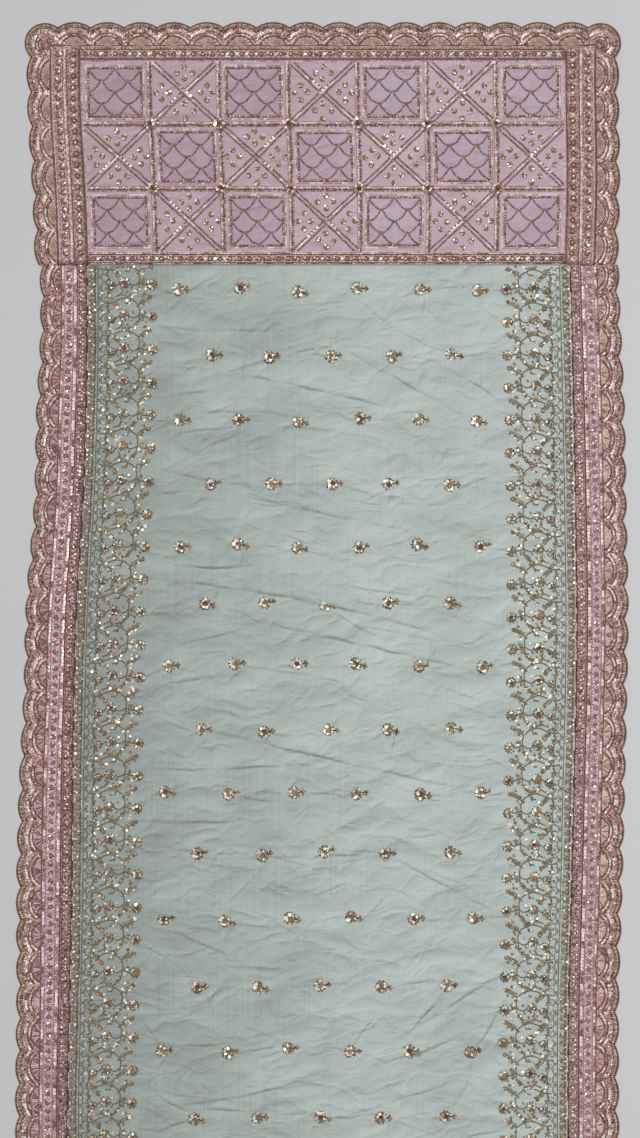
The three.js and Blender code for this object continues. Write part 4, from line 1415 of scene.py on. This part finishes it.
def on_tape(x, s):
    x, s = matched(x, s)
    return np.stack([x, s, np.full(x.shape, tape_top(0.5) - 0.15)], -1)


def rosettes(work, spots, radius):
    """Small round brown flowers with a pale heart."""
    work.rings(spots, radius * 0.8, radius * 0.5, 1.2, BROWN, 7)
    work.beads(spots, radius * 0.4, 1.4, [SEQUIN_ROSE, PEARL_AND_HIGHLIGHT, ROSE])


def pallu_tape_work():
    work = Work(51)
    for side in OUT:
        s_line = np.linspace(CORNER["depth"] + 1, PALLU_END - 1, 60)

        def along(depth, s):
            return on_tape(pallu_tip(side, s) - OUT[side] * depth, s)

        for depth, width, material in (
            (45.4, 2.8, BROWN), (49.0, 1.8, CREAM), (52.2, 1.4, ROSE), (68.8, 1.4, BROWN),
            (76.6, 2.6, BROWN), (80.2, 1.8, KHAKI), (97.0, 1.8, KHAKI), (100.4, 2.8, BROWN),
        ):
            work.cord(along(depth, s_line)[None], width, 0.9, material, waver=0.3)
        dots = along(60.4, np.arange(62, 452, 16.4))
        work.stars(dots, 5.2, 1.6, ANTIQUE)
        work.rings(dots, 5.6, 1.4, 0.8, DARK, 8)
        work.knots(dots, 1.9, 1.6, SEQUIN_GOLD, 0.9)
        work.glints(dots, 5.5, 2, 2.2, 1.1, -0.7)
        dashes = along(72.8, np.arange(53, 458, 6.2))[None]
        work.gleams(dashes, 3.4, 1.0, BRIGHT, [CREAM, ROSE, SATIN])
        for depth in (55.4, 65.4):
            work.knots(along(depth, np.arange(56, 456, 5.5)), 1.3, 1.0, [ROSE, CREAM, BROWN])
        rosettes(work, along(88.6, np.arange(62, 452, 21.0)), 6.0)
        work.sequins(along(88.6, np.arange(72.5, 452, 21.0)), 2.2, [PEARL_AND_HIGHLIGHT, SEQUIN_ROSE], lift=0.3)
        for depth in (83.2, 94.0):
            work.knots(along(depth, np.arange(56, 456, 4.6)), 1.6, 1.0, [BROWN, DARK, SATIN, CREAM])
    for span in (TOP_TAPE, BOTTOM_TAPE):
        left = pallu_tip("left", span[0]) + PALLU_TAPE[1] + 1
        right = pallu_tip("right", span[0]) - PALLU_TAPE[1] - 1
        x, middle = np.linspace(left, right, 110), sum(span) / 2
        for inset, width, material in ((1.5, 2.2, BROWN), (4.4, 1.4, CREAM)):
            for s in (span[0] + inset, span[1] - inset):
                work.cord(on_tape(x, s)[None], width, 0.9, material, waver=0.25)
        rosettes(work, on_tape(np.arange(left + 10, right, 18.5), middle), 4.9)
        between = np.arange(left + 19.2, right, 18.5)
        work.sequins(on_tape(between, middle), 2.6, [PEARL_AND_HIGHLIGHT, SEQUIN_ROSE, BROWN], lift=0.5)
        work.sequins(on_tape(between + 4, middle - 2), 1.8, [PEARL_AND_HIGHLIGHT, SEQUIN_ROSE], lift=0.7)
        for shift in (-6.0, 6.0):
            work.knots(on_tape(np.arange(left + 4, right, 4.4), middle + shift), 1.5, 1.0,
                       [BROWN, DARK, SATIN, ROSE])
    left, right = left + 4, right - 4
    for s, width in ((BOTTOM_TAPE[0] + 0.5, 2.8), (BOTTOM_TAPE[1] - 0.8, 2.2)):
        work.gleams(on_tape(np.arange(left, right, 7), s)[None], width, 1.1, BRIGHT, [BROWN, ROSE])
    return work.piece("pallu_tape_work", "beaded_tape")


def straight(start, end, step):
    """Shares along a line of the lattice, about a step apart."""
    reach = (end[0] - start[0]) * SQUARE["across"], (end[1] - start[1]) * SQUARE["down"]
    length = math.hypot(*reach)
    share = np.linspace(0, 1, int(length / step) + 1)
    return [start[k] + (end[k] - start[k]) * share for k in (0, 1)]


def grid_line(work, start, end):
    """One line of the lattice: two beaded brown cords with bright dashes between them."""
    level = start[1] == end[1]
    side = (0, 1 / SQUARE["down"]) if level else (1 / SQUARE["across"], 0)
    a, b = straight(start, end, 7)
    for shift, width, material in ((-5.2, 2.0, ROSE), (0.4, 3.8, LATTICE_BROWN)):
        line = on_pallu(a + shift * side[0], b + shift * side[1])
        work.cord(line[None], width, 1.3, material, waver=0.4)
    a, b = straight(start, end, 5.6)
    middle = on_pallu(a - 2.1 * side[0], b - 2.1 * side[1])
    work.gleams(middle[None], 3.8, 1.3, BRIGHT, [KHAKI, CREAM, ROSE, ROSE, SATIN], 0.2)
    a, b = straight(start, end, 4.2)
    for shift, lift in ((0.4, 0.7), (3.6, 0)):
        line = on_pallu(a + shift * side[0], b + shift * side[1])
        work.knots(line, 1.9, 1.3, [DARK, LATTICE_BROWN, ROSE, CREAM], lift)


def box_points(a0, b0, a1, b1, count):
    """Shares round a rectangle, count points a side."""
    t = np.linspace(0, 1, count)[:-1]
    one = np.ones(count - 1)
    a = np.concatenate([a0 + (a1 - a0) * t, a1 * one, a1 + (a0 - a1) * t, a0 * one])
    b = np.concatenate([b0 * one, b0 + (b1 - b0) * t, b1 * one, b1 + (b0 - b1) * t])
    return a, b


def scale_square(work, column, row):
    """A corded window filled with rows of hanging arcs."""
    shift = work.random.uniform(-0.008, 0.008, 4)
    left, right = column + WINDOW["left"] + shift[0], column + WINDOW["right"] + shift[1]
    top, bottom = row + WINDOW["top"] + shift[2], row + WINDOW["bottom"] + shift[3]
    a, b = box_points(left, top, right, bottom, 18)
    work.cord(on_pallu(a, b)[None], 4.2, 1.4, LATTICE_BROWN, closed=True, waver=0.7)
    work.knots(on_pallu(a, b), 2.2, 1.1, [DARK, ROSE, GOLD, CREAM], 0.9)
    a, b = box_points(left - 0.034, top - 0.036, right + 0.034, bottom + 0.036, 19)
    line = np.concatenate([on_pallu(a, b), on_pallu(a[:1], b[:1])])[None]
    work.gleams(line, 2.6, 1.0, BRIGHT, [KHAKI, SATIN, ROSE, ROSE])
    step = (bottom - top) * 0.95 / WINDOW["rows"]
    half = (right - left) / 4
    for k in range(WINDOW["rows"]):
        for m in (1, 3) if k % 2 == 0 else (0, 2, 4):
            t = np.linspace(-1, 1, 11)
            a = left + half * (m + t) + work.random.uniform(-0.004, 0.004)
            b = top + step * (k + 1.08 * (1 - t**2)) + work.random.uniform(-0.004, 0.004)
            inside = (a >= left - 1e-2) & (a <= right + 1e-2)
            arc = on_pallu(a[inside], b[inside])
            work.cord(arc[None], 3.4, 1.1, LATTICE_BROWN, waver=0.7)
            work.knots((arc[1:] + arc[:-1]) / 2, 1.9, 1.0, [ROSE, DARK, LATTICE_BROWN, ROSE], 0.6)


def cross_square(work, column, row):
    """Double cords from corner to corner, and a diamond of gold dots in each quarter."""
    t = np.linspace(0.06, 0.94, 21)
    for way in (1, -1):
        b = t if way > 0 else 1 - t
        for shift in (-0.021, 0.021):
            line = on_pallu(column + t + shift, row + b - way * shift)
            work.cord(line[None], 3.4, 1.2, LATTICE_BROWN, waver=0.7)
            work.knots(line, 1.9, 1.0, [ROSE, DARK, GOLD, ROSE], 0.7)
        pale = np.sin(12 * t + work.random.uniform(0, 6.3)) > 0.5
        feet, tips = [
            on_pallu(column + t[pale] + half, row + b[pale] + way * half)
            for half in (-0.034, 0.034)
        ]
        work.leaves(feet, tips, 3.8, 1.5, BRIGHT, 0.3, ROD)
        start = work.random.integers(2, 15)
        spots = on_pallu(column + t[start:start + 4], row + b[start:start + 4] - 0.03)
        work.sequins(spots, work.random.uniform(2.2, 3.2, 4), BRIGHT, lift=1.0)
    for da, db, wide, tall in ((0, -0.3, 0.115, 0.09), (0, 0.29, 0.115, 0.115),
                               (-0.325, 0, 0.092, 0.115), (0.325, 0, 0.092, 0.115)):
        offsets = np.array([(0, -tall), (wide, 0), (0, tall), (-wide, 0)])
        offsets = offsets + work.random.uniform(-0.012, 0.012, (4, 2))
        dots = on_pallu(column + 0.5 + da + offsets[:, 0], row + 0.5 + db + offsets[:, 1])
        gold_dots(work, dots)


def gold_dots(work, dots):
    """Antique gold rosettes, each ringed, with a small heart and bright sequins over it."""
    work.stars(dots, 5.9, 1.6, ANTIQUE)
    work.rings(dots, 5.1, 1.8, 1.1, ANTIQUE, 6)
    work.knots(dots, 1.9, 2.0, [SEQUIN_GOLD, DARK])
    work.glints(dots, 5.0, 3, 1.8, 1.3)


def pallu_field_work():
    work = Work(61)
    columns, rows = LATTICE["columns"], LATTICE["rows"]
    for c in range(1, columns):
        grid_line(work, (c, 0.03), (c, rows - 0.03))
    for r in range(1, rows):
        grid_line(work, (0.03, r), (columns - 0.03, r))
    for r in range(rows):
        for c in range(columns):
            (scale_square if (c + r) % 2 == 0 else cross_square)(work, c, r)
    a, b = np.meshgrid(np.arange(1, columns), np.arange(1, rows))
    crossings = on_pallu(a.ravel() - 0.01, b.ravel() - 0.01)
    work.flowers(crossings, 12.5, 11, [LATTICE_BROWN, ANTIQUE, KHAKI, SATIN], ANTIQUE, 1.8, 1.7)
    work.flowers(crossings, 7.5, 6, [LATTICE_BROWN, ANTIQUE, DARK], DARK, 2.4, 2.2)
    work.glints(crossings, 11, 9, 1.9, 3.6)
    a, b = box_points(0.02, 0.02, columns - 0.02, rows - 0.02, 150)
    edge = np.concatenate([on_pallu(a, b), on_pallu(a[:1], b[:1])])[None]
    work.gleams(edge, 2.0, 0.9, [CREAM, PEARL_AND_HIGHLIGHT], [CREAM, ROSE])
    return work.piece("pallu_field_work", "lilac_net")


# The vine's repeat, as (e, f): e inward from the seam, f along the cloth from its big flower.
# A spray is a stem and how many leaves stand on it. A flower or bud ends with its radius.
VINE_UNIT = {
    "stems": [
        [(116, 0), (105, -1), (97, -5), (98, -14), (95.5, -24), (91, -29), (81, -35), (70, -37.5),
         (60, -35), (49, -30), (38, -27), (29, -29)],
        [(95.5, -24), (101, -28), (108, -31), (117, -37)],
        [(97, -5), (90, 0), (84, 1), (77, -2)],
        [(81, -35), (79, -30), (75, -27), (69, -26)],
        [(49, -30), (53, -25), (59, -20)],
        [(62, -4), (56, 0), (51, 3)],
        [(97, -5), (96, 6), (92, 13), (86, 17)],
        [(62, 5), (64, 12), (61, 18), (55, 21)],
        [(38, -27), (34, -20), (37, -13), (41, -8)],
        [(37, 0), (42, 6), (41, 13), (36, 17)],
    ],
    "sprays": [
        ((97, -28), (119, -39), 10), ((86, -36), (64, -43), 8), ((62, -17), (46, -27), 8),
        ((96, 5), (86, 19), 6), ((101, -2), (106, -11), 4), ((50, -32), (40, -36), 4),
    ],
    "leaves": [
        ((104, -29), (106, -21)), ((97, -24), (90, -20)), ((72, -37), (73, -46)),
        ((78, -31), (77, -23)), ((56, -21), (58, -12)), ((103, 0), (104, 9)), ((84, 2), (80, 9)),
        ((55, 21), (48, 22)), ((63, 10), (69, 13)), ((37, -14), (44, -15)), ((41, 13), (47, 15)),
        ((76, 10), (72, 17)),
    ],
    "flowers": [(121, 0, 10.8), (69, -4, 10.8), (46, 3, 8.0)],
    "buds": [(101, 3, 4.2), (57, -18, 4.8), (118, -38, 4.8), (50, -31, 4.0), (80, 20, 3.6),
             (33, 6, 3.2), (108, 18, 3.4)],
    "sequins": [
        (102, -20), (75, -29), (91, 11), (113, -30), (62, -22), (86, -40), (110, 9), (66, 22),
        (42, 20), (32, -12), (84, -10), (60, 10), (104, -42), (36, -34),
    ],
}


def spray(foot, tip, count):
    """Feet and tips of leaves that stand in turn to both sides of a short stem."""
    foot, reach = np.array(foot, float), np.subtract(tip, foot)
    ahead = reach / math.hypot(*reach)
    aside = np.array([-ahead[1], ahead[0]])
    for k in range(count):
        base = foot + reach * k / count
        yield base, base + 4.6 * ahead + (4.4 if k % 2 else -4.4) * aside
    yield foot + 0.85 * reach, foot + reach + 4 * ahead


def beside(side, e, s):
    """Spots e inward from a seam of the body's net."""
    return on_net(body_seam(side, s) - OUT[side] * e, s)


def vine_edge(work, side, ends, fine):
    """The straight rows between tape and vine: dots, dotted lines and two chains of loops."""
    def every(pitch, shift=0.0):
        return np.arange(ends[0] + 5 + shift, ends[1] - 5, pitch)

    dots = beside(side, 8.6, every(16))
    work.stars(dots, 5.3, 1.5, [GOLD, GOLD, LEAF_KHAKI], 0.35, STAR if fine else SMALL_STAR)
    line = np.linspace(*ends, int((ends[1] - ends[0]) / 14))
    work.cord(beside(side, 8.8, line)[None], 14, 0.35, SEAM_NET)
    work.cord(beside(side, 18.6, line)[None], 1.7, 0.9, VINE)
    turn = np.linspace(-2.2, 2.2, 6 if fine else 4)
    for starts, e, across, along in (
        (every(19.4, 8), 23.0, 4.4, 9.4), (every(PITCH / 2, 12), 33.6, 4.6, 15),
    ):
        loops = beside(side, e + across * np.cos(turn), starts[:, None] + along * np.sin(turn))
        work.cord(loops, 2.2, 0.9, VINE)
    work.sequins(beside(side, 26.8, every(19.4, 8)), 1.9, [PEARL_AND_HIGHLIGHT, GOLD])
    if fine:
        work.rings(dots, 5.4, 1.5, 1.1, VINE, 6)
        work.knots(dots, 1.9, 1.5, SEQUIN_GOLD, 1.1)
        work.glints(dots, 6.0, 1, 1.9, 1.3)
        work.sequins(beside(side, 2.6, every(9, 3)), 1.9, [CREAM_AND_HIGHLIGHT, SEQUIN_LIGHT, ROSE, GOLD])
        work.knots(beside(side, 18.6, every(4.6)), 1.5, 1.2, [VINE, DARK, SEQUIN_GOLD], 0.4)
        work.knots(beside(side, 15.4, every(6.4)), 1.3, 1.0, [VINE, KHAKI, PEARL_AND_HIGHLIGHT])
        for e, pitch in ((22.6, 9.7), (30.2, 7.7), (38.6, 7.7)):
            work.knots(beside(side, e, every(pitch, 3)), 1.6, 1.3, [VINE, KHAKI, GOLD, PEARL_AND_HIGHLIGHT])


def vine_units(work, side, starts, fine):
    """The vine itself: stems, leaves, flowers, buds and loose sequins, once for each start."""
    def spots(place, stray):
        shift = work.random.uniform(-stray, stray, (2, len(starts)))
        s = np.clip(starts + place[1] + shift[0], PALLU_END + 4, LENGTH - END_HEM - 3)
        return beside(side, place[0] + shift[1], s)

    for stem in VINE_UNIT["stems"] if fine else VINE_UNIT["stems"][:5]:
        work.cord(np.stack([spots(place, 0.6) for place in stem], 1), 2.5, 1.1, VINE)
    leaves = list(VINE_UNIT["leaves"] if fine else VINE_UNIT["leaves"][:4])
    for foot, tip, count in VINE_UNIT["sprays"]:
        leaves += spray(foot, tip, count if fine else 3)
    for foot, tip in leaves:
        work.leaves(spots(foot, 0.4), spots(tip, 0.5), 5.9, 1.3, LEAF_TONES)
    for e, f, radius in VINE_UNIT["flowers"]:
        centre = spots((e, f), 1.0)
        if fine:
            flower(work, centre, radius)
        else:
            work.stars(centre, radius, 1.6, [LEAF_KHAKI, GOLD, BRONZE, BRONZE])
            work.glints(centre, radius * 0.8, 1, 2.4, 1.2)
    for e, f, radius in VINE_UNIT["buds"] if fine else VINE_UNIT["buds"][:4]:
        centre = spots((e, f), 1.5)
        work.stars(centre, radius * 1.1, 1.4, LEAF_TONES, unit=SMALL_STAR)
        if fine:
            work.knots(centre, radius * 0.4, 1.6, [BRONZE, CREAM_AND_HIGHLIGHT], 0.5)
    for place in VINE_UNIT["sequins"] if fine else VINE_UNIT["sequins"][:5]:
        size = work.random.uniform(1.6, 2.8, len(starts))
        work.sequins(spots(place, 3.0), size, [*CREAMY, SEQUIN_GOLD, BRONZE], lift=0.7)


def flower(work, centre, radius):
    """A round flower: bronze and khaki petals, a gold heart, and bright sequins over them."""
    tones = [BRONZE, BRONZE, GOLD, LEAF_KHAKI, LEAF_KHAKI, CREAM_AND_HIGHLIGHT]
    work.beads(centre, radius * 0.85, 1.5, [LEAF_KHAKI, BRONZE])
    work.flowers(centre, radius, 10, tones, GOLD, 1.5, 0.3)
    work.stars(centre, radius * 0.55, 2.2, [BRONZE, GOLD, DARK], 0.5)
    rim = centre[:, None] + 0.86 * radius * heading(round_turn(10))
    work.knots(rim, 1.7, 1.6, [BRONZE, DARK, LEAF_KHAKI], 0.6)
    work.glints(centre, radius * 0.7, 2, 0.24 * radius, 1.9, -2.2)
    work.glints(centre, radius * 0.8, 3, 0.14 * radius, 1.9)


VINE_SEED = {"left": 71, "right": 72}
VINE_START = {"left": 499, "right": 508}


def vine_work(side):
    work = Work(VINE_SEED[side], CREAMY)
    starts = np.arange(VINE_START[side], LENGTH - 30, PITCH)
    near = starts < NEAR_END
    vine_edge(work, side, (PALLU_END + 2, NEAR_END), True)
    vine_edge(work, side, (NEAR_END, LENGTH - END_HEM - 2), False)
    vine_units(work, side, starts[near], True)
    vine_units(work, side, starts[~near], False)
    return work.piece(f"vines_{side}", "mint_net")


SPRIG = {"radius": 13.2, "rim": 10.2, "foot": 8, "clover": 15.5, "leaf": 7.8}


def sprig_work(places):
    """A round flower, and a three-leafed sprig to its right."""
    work = Work(81, CREAMY)
    near = places[:, 1] < NEAR_END
    for group, fine in ((places[near], True), (places[~near], False)):
        x, s = group.T
        centre = on_net(x, s)
        lean = work.random.uniform(-0.25, 0.25, len(x))
        foot, hub = [
            on_net(x + SPRIG[part] * np.cos(lean), s + SPRIG[part] * np.sin(lean))
            for part in ("foot", "clover")
        ]
        work.cord(np.stack([foot, hub], 1), 2.8, 1.4, DARK)
        for turn in (-1.3, 0, 1.3):
            reach = SPRIG["leaf"] * heading(turn + lean)
            work.leaves(hub - 0.1 * reach, hub + reach, 6.4, 1.6, [BRONZE, GOLD, DARK, LEAF_KHAKI])
            if fine:
                tones = [LEAF_KHAKI, SEQUIN_GOLD, CREAM_AND_HIGHLIGHT]
                work.leaves(hub + 0.2 * reach, hub + 0.9 * reach, 2.6, 2.2, tones, 0.3)
        if fine:
            flower(work, centre, SPRIG["radius"])
            work.knots(centre + [[-4, 0, 0]], 3.2, 2.4, CREAM_AND_HIGHLIGHT, 0.6)
            work.glints(centre, SPRIG["radius"] * 0.7, 2, 2.9, 2.4, 1.9)
            rim = centre[:, None] + SPRIG["rim"] * heading(round_turn(12))
            work.knots(rim, 1.7, 1.6, [DARK, DARK, BRONZE, CREAM_AND_HIGHLIGHT], 0.4)
        else:
            tones = [BRONZE, LEAF_KHAKI, LEAF_KHAKI, CREAM_AND_HIGHLIGHT]
            work.flowers(centre, SPRIG["radius"], 7, tones, DARK, 1.7, 0.1)
            work.glints(centre, SPRIG["radius"] * 0.7, 2, 3.0, 1.6)
    return work.piece("sprigs", "mint_net")


# ---- The part ----
sprigs = sprig_places()
net = body_net_cloth(fold_net(sprigs))
lilac = pallu_net_cloth()
vines = {side: vine_work(side) for side in OUT}
sprig_piece = sprig_work(sprigs)
field_piece = pallu_field_work()
pallu_border_piece = pallu_border_work()
pallu_tape_piece = pallu_tape_work()
hem = cross_tape_cloth(
    "end_hem_cloth", "end_hem", (LENGTH, LENGTH - END_HEM), SEAM, body_seam, MINT
)

for side in OUT:
    cloth = border_cloth(body_border(side), side, "border_" + side, "edge_" + side)
    tape = body_tape_cloth(side)
    body_border_work(side)
    body_tape_work(side)
    pallu_cloth = pallu_side_cloth(pallu_side_border(side), side)
    pallu_tape = pallu_tape_cloth(side)

top_cloth = pallu_top_cloth(pallu_top_border())
for name, span in (("top", TOP_TAPE), ("bottom", BOTTOM_TAPE)):
    tape = cross_tape_cloth(
        "pallu_tape_" + name, "pallu_band_" + name, span, PALLU_TAPE[1] + SEAM, pallu_tip,
        BEIGE_GROUND if name == "top" else TAPE_GROUND["right"],
    )


# ---- Floor, light and camera ----
FLOOR = {"reach": 12.0, "height": -0.0004}


def floor():
    """A plain pale floor, with painted light that makes it a little lighter to the right."""
    mesh = bpy.data.meshes.new("floor")
    corners = [(-1, -1), (1, -1), (1, 1), (-1, 1)]
    points = [(x * FLOOR["reach"], y * FLOOR["reach"], FLOOR["height"]) for x, y in corners]
    mesh.from_pydata(points, [], [(0, 1, 2, 3)])
    plane = placed("floor", mesh)
    f = Finish("floor", 0.9, Specular_IOR_Level=0.2)
    # Painted light: the floor's colour brightens from left to right, standing in for more light
    # falling on the right.
    share = f.math("ADD", f.math("MULTIPLY", f.across(), 0.7), 0.5)
    f.colour(f.ramp(share, [(0.0, (192, 191, 193)), (1.0, (199, 199, 200))]))
    mesh.materials.append(f.material)
    plane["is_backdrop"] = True


def sun(name, strength, turn, elevation, angle):
    """A distant light. Turn 0 shines from the pallu's side, 90 from the right."""
    data = bpy.data.lights.new(name, "SUN")
    data.energy, data.angle = strength, math.radians(angle)
    placed(name, data).rotation_euler = (-math.radians(90 - elevation), 0, -math.radians(turn))


def softbox(name, place, target, size, power):
    """A broad light at a place, turned to its target."""
    data = bpy.data.lights.new(name, "AREA")
    data.shape, (data.size, data.size_y), data.energy = "RECTANGLE", size, power
    lamp = placed(name, data)
    lamp.location = place
    aim = Vector(target) - Vector(place)
    lamp.rotation_euler = aim.to_track_quat("-Z", "Y").to_euler()


PHOTO_MIDDLE = 1039  # s at the middle of the view
VIEW = {"height": 3.003, "lens": 50, "sensor": 36}
middle_x, middle_y = -MIDDLE_X / 1000, (LENGTH / 2 - PHOTO_MIDDLE) / 1000


def camera():
    data = bpy.data.cameras.new("camera")
    data.lens, data.sensor_width = VIEW["lens"], VIEW["sensor"]
    lens = placed("camera", data)
    lens.location = (middle_x, middle_y, VIEW["height"])
    bpy.context.scene.camera = lens


def surroundings(brightness):
    world = bpy.data.worlds.new("surroundings")
    world.use_nodes = True
    sky = world.node_tree.nodes["Background"].inputs
    sky["Color"].default_value, sky["Strength"].default_value = (0.97, 0.98, 1, 1), brightness
    bpy.context.scene.world = world


floor()
camera()
surroundings(brightness=0.42)
sun("key", strength=1.92, turn=-25, elevation=33, angle=6)
softbox("overhead_left", place=(-1.15, middle_y + 0.8, 3.6), target=(-0.6, middle_y + 0.4, 0),
        size=(0.8, 1.2), power=16)
softbox("overhead_right", place=(1.3, middle_y - 0.2, 3.6), target=(0.9, middle_y - 0.2, 0),
        size=(0.5, 3.6), power=34)
bpy.context.scene.view_settings.view_transform = "Standard"

new_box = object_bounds()
boxes = {"cad": cad_box, "visual": new_box}
{k: [list(corner) for corner in box] for k, box in boxes.items()}
